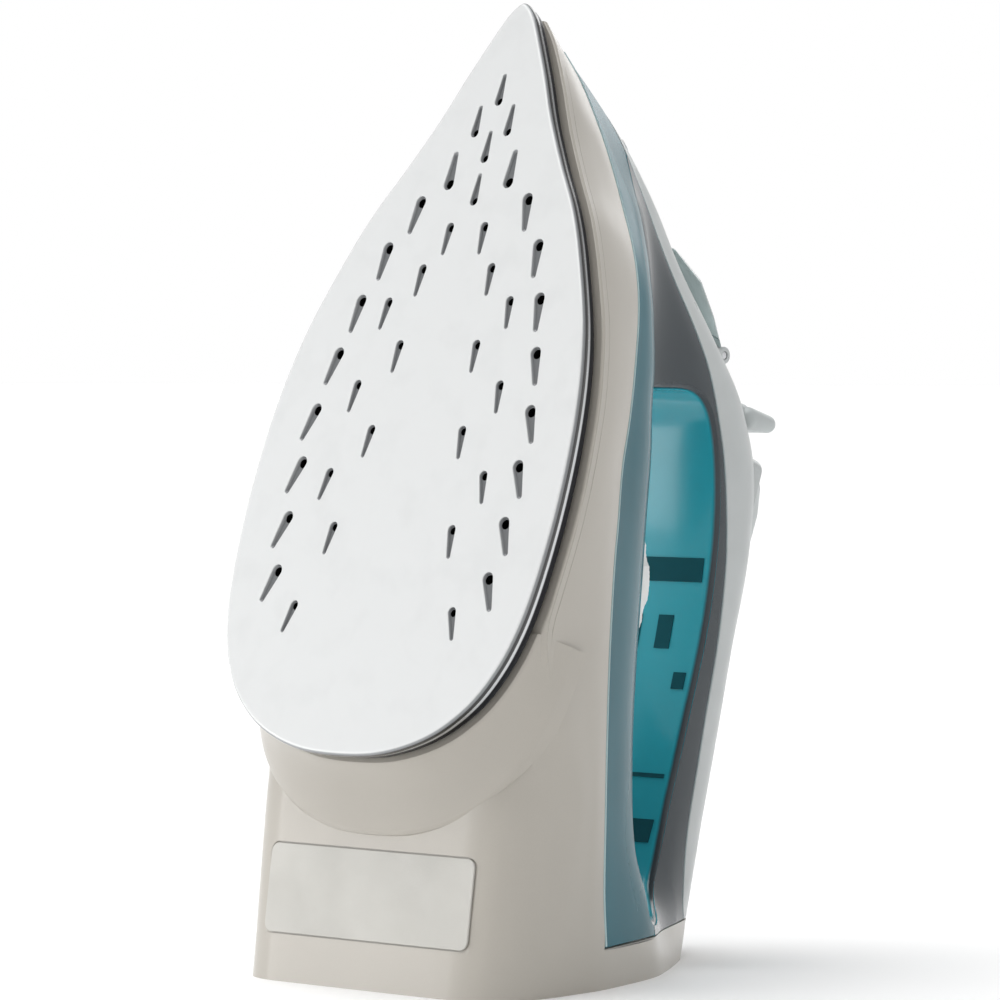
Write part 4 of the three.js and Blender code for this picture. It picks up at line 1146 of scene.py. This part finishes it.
def make_shade_strip(s0, s1, y0, y1, proud=0.3, sunk=0.4):
    """A thin dark strip on the handle's underside: painted shade where gaps and recesses there lie in shadow.
    """
    underside = WINDOW_FINE[(WINDOW_FINE[:, 0] > 84) & (WINDOW_FINE[:, 1] > 88)]
    underside = underside[np.argsort(underside[:, 0])]
    s = np.linspace(s0, s1, 12)
    z = np.interp(s, *underside.T)
    outline = np.concatenate([np.column_stack([-s, z - proud]), np.column_stack([-s, z + sunk])[::-1]])
    return skin([at_side(outline, y) for y in (y0, y1)])


def make_seam_highlight(side):
    """A pale thin bar along the seam between the tank and the skirt: a painted highlight on the seam's edge.
    """
    wide, high = RAILS[0]
    path = [(-s, side * (float(wide(s)) - 0.12), float(high(s))) for s in np.linspace(9, 256.2, 42)]
    return sweep(path, 0.38, 10, 3)


finish_piece(joined([make_shade_strip(*place) for place in SHADE_STRIPS]), "handle_shade_strips", PAINTED_SHADE, [])
finish_piece(joined([make_seam_highlight(1), make_seam_highlight(-1)]), "tank_seam_highlight", SEAM_HIGHLIGHT, [])


# ---------------------------------------------------------------- tubes and carried-over CAD nodes
TUBES = {
    "suction_tube": ([(80.5, 11, 36), (80.5, 11, 66), (79.5, 5, 99.5), (90, 0, 109), (100.5, 0, 115.5)], 1.5),
    "spray_tube": ([(101, 8, 116), (91, 8, 109), (80, 9.4, 99), (65, 9.6, 77), (46, 8.8, 59.5), (37, 4.5, 56),
                    (32.5, 0, 55.8)], 1.4),
    "burst_tube": ([(101, -8, 116), (91, -8, 109), (80, -9.4, 99), (79, -12, 70), (79, -12, 16.6)], 1.4),
}
for node, (points, r) in TUBES.items():
    tube = sweep([(-s, y, z) for s, y, z in points], r)
    finish_piece(tube, node + "_hose", CLEAR, [node])

CARRIED = {
    "heating_element": STEEL, "steam_chamber_cover": CAST, "thermostat_shaft": BRASS, "thermostat": STEEL,
    "thermal_fuse": STEEL, "dosing_chamber": BRASS, "valve_rod": BRASS, "spray_pump": PUMP_WHITE,
    "burst_pump": PUMP_WHITE, "spray_spring": STEEL, "burst_spring": STEEL, "gland_socket": DARK,
    "terminal_block": PUMP_WHITE, "indicator_lamp": CLEAR, "handle_frame": DARK,
}
for node, material in CARRIED.items():
    paint(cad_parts[node], material)
    soften(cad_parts[node], 32, 0.25)
for obj in (outer, cavity):
    bpy.data.objects.remove(obj)


# ---------------------------------------------------------------- floor, light, camera
def make_stage():
    floor = new_object([(-30, -30, 0), (30, -30, 0), (30, 30, 0), (-30, 30, 0)], [[0, 1, 2, 3]])
    floor.name = "floor"
    look = Look("pale floor", (0.95, 0.95, 0.95), 0.7, Specular_IOR_Level=0.1)
    paint(floor, look.mottled(3, 0.005).material)


def add_light(name, kind, place, target, energy, **values):
    light = bpy.data.lights.new(name, kind)
    light.energy = energy
    for key, value in values.items():
        setattr(light, key, value)
    obj = linked(bpy.data.objects.new(name, light))
    obj.location = place
    obj.rotation_euler = (Vector(target) - Vector(place)).to_track_quat("-Z", "Y").to_euler()


def make_world():
    """White all round the horizon, dimmer overhead."""
    world = bpy.data.worlds.new("white studio")
    bpy.context.scene.world = world
    world.use_nodes = True
    tree = world.node_tree
    background = tree.nodes["Background"]
    kinds = ("TexCoord", "SeparateXYZ", "MapRange")
    where, parts, level = [tree.nodes.new("ShaderNode" + kind) for kind in kinds]
    for socket, value in (("From Min", 0.14), ("From Max", 0.5), ("To Min", 1.0), ("To Max", 0.22)):
        level.inputs[socket].default_value = value
    tree.links.new(where.outputs["Generated"], parts.inputs["Vector"])
    tree.links.new(parts.outputs["Z"], level.inputs["Value"])
    tree.links.new(level.outputs["Result"], background.inputs["Strength"])
    background.inputs["Color"].default_value = (1, 1, 1, 1)


def make_camera():
    place = Vector((0.9575, -1.0733, 0.1736))
    back = Vector((0.6661, -0.7453, 0.0270)).normalized()
    up = Vector((-0.0180, 0.0201, 0.9996))
    right = up.cross(back).normalized()
    up = back.cross(right)
    camera = bpy.data.cameras.new("camera")
    camera.lens, camera.sensor_width = 181.4, 36
    camera.clip_start, camera.clip_end = 0.05, 100
    obj = linked(bpy.data.objects.new("camera", camera))
    obj.matrix_world = Matrix.LocRotScale(place, Matrix((right, up, back)).transposed(), None)
    bpy.context.scene.camera = obj


make_stage()
make_world()
make_camera()
add_light("overhead", "SUN", (-0.7, -0.5, 3.2), (0, 0, 0), 2.8, angle=math.radians(70))
for name, place, target, wide, high, energy in (
        ("left key", (-0.9, -1.7, 0.7), (0, 0, 0.15), 0.8, 1.2, 2.5),
        ("heel", (-0.42, -0.40, 0.10), (-0.03, -0.06, 0.05), 0.25, 0.25, 0.55),
        ("right fill", (1.9, 0.9, 0.6), (0, 0, 0.15), 0.5, 1.2, 0.5),
        ("back rim", (-0.5, 1.7, 1.0), (0, 0.05, 0.15), 0.8, 0.8, 3.0)):
    add_light(name, "AREA", place, target, energy, shape="RECTANGLE", size=wide, size_y=high)
bpy.context.scene.view_settings.view_transform = "Standard"
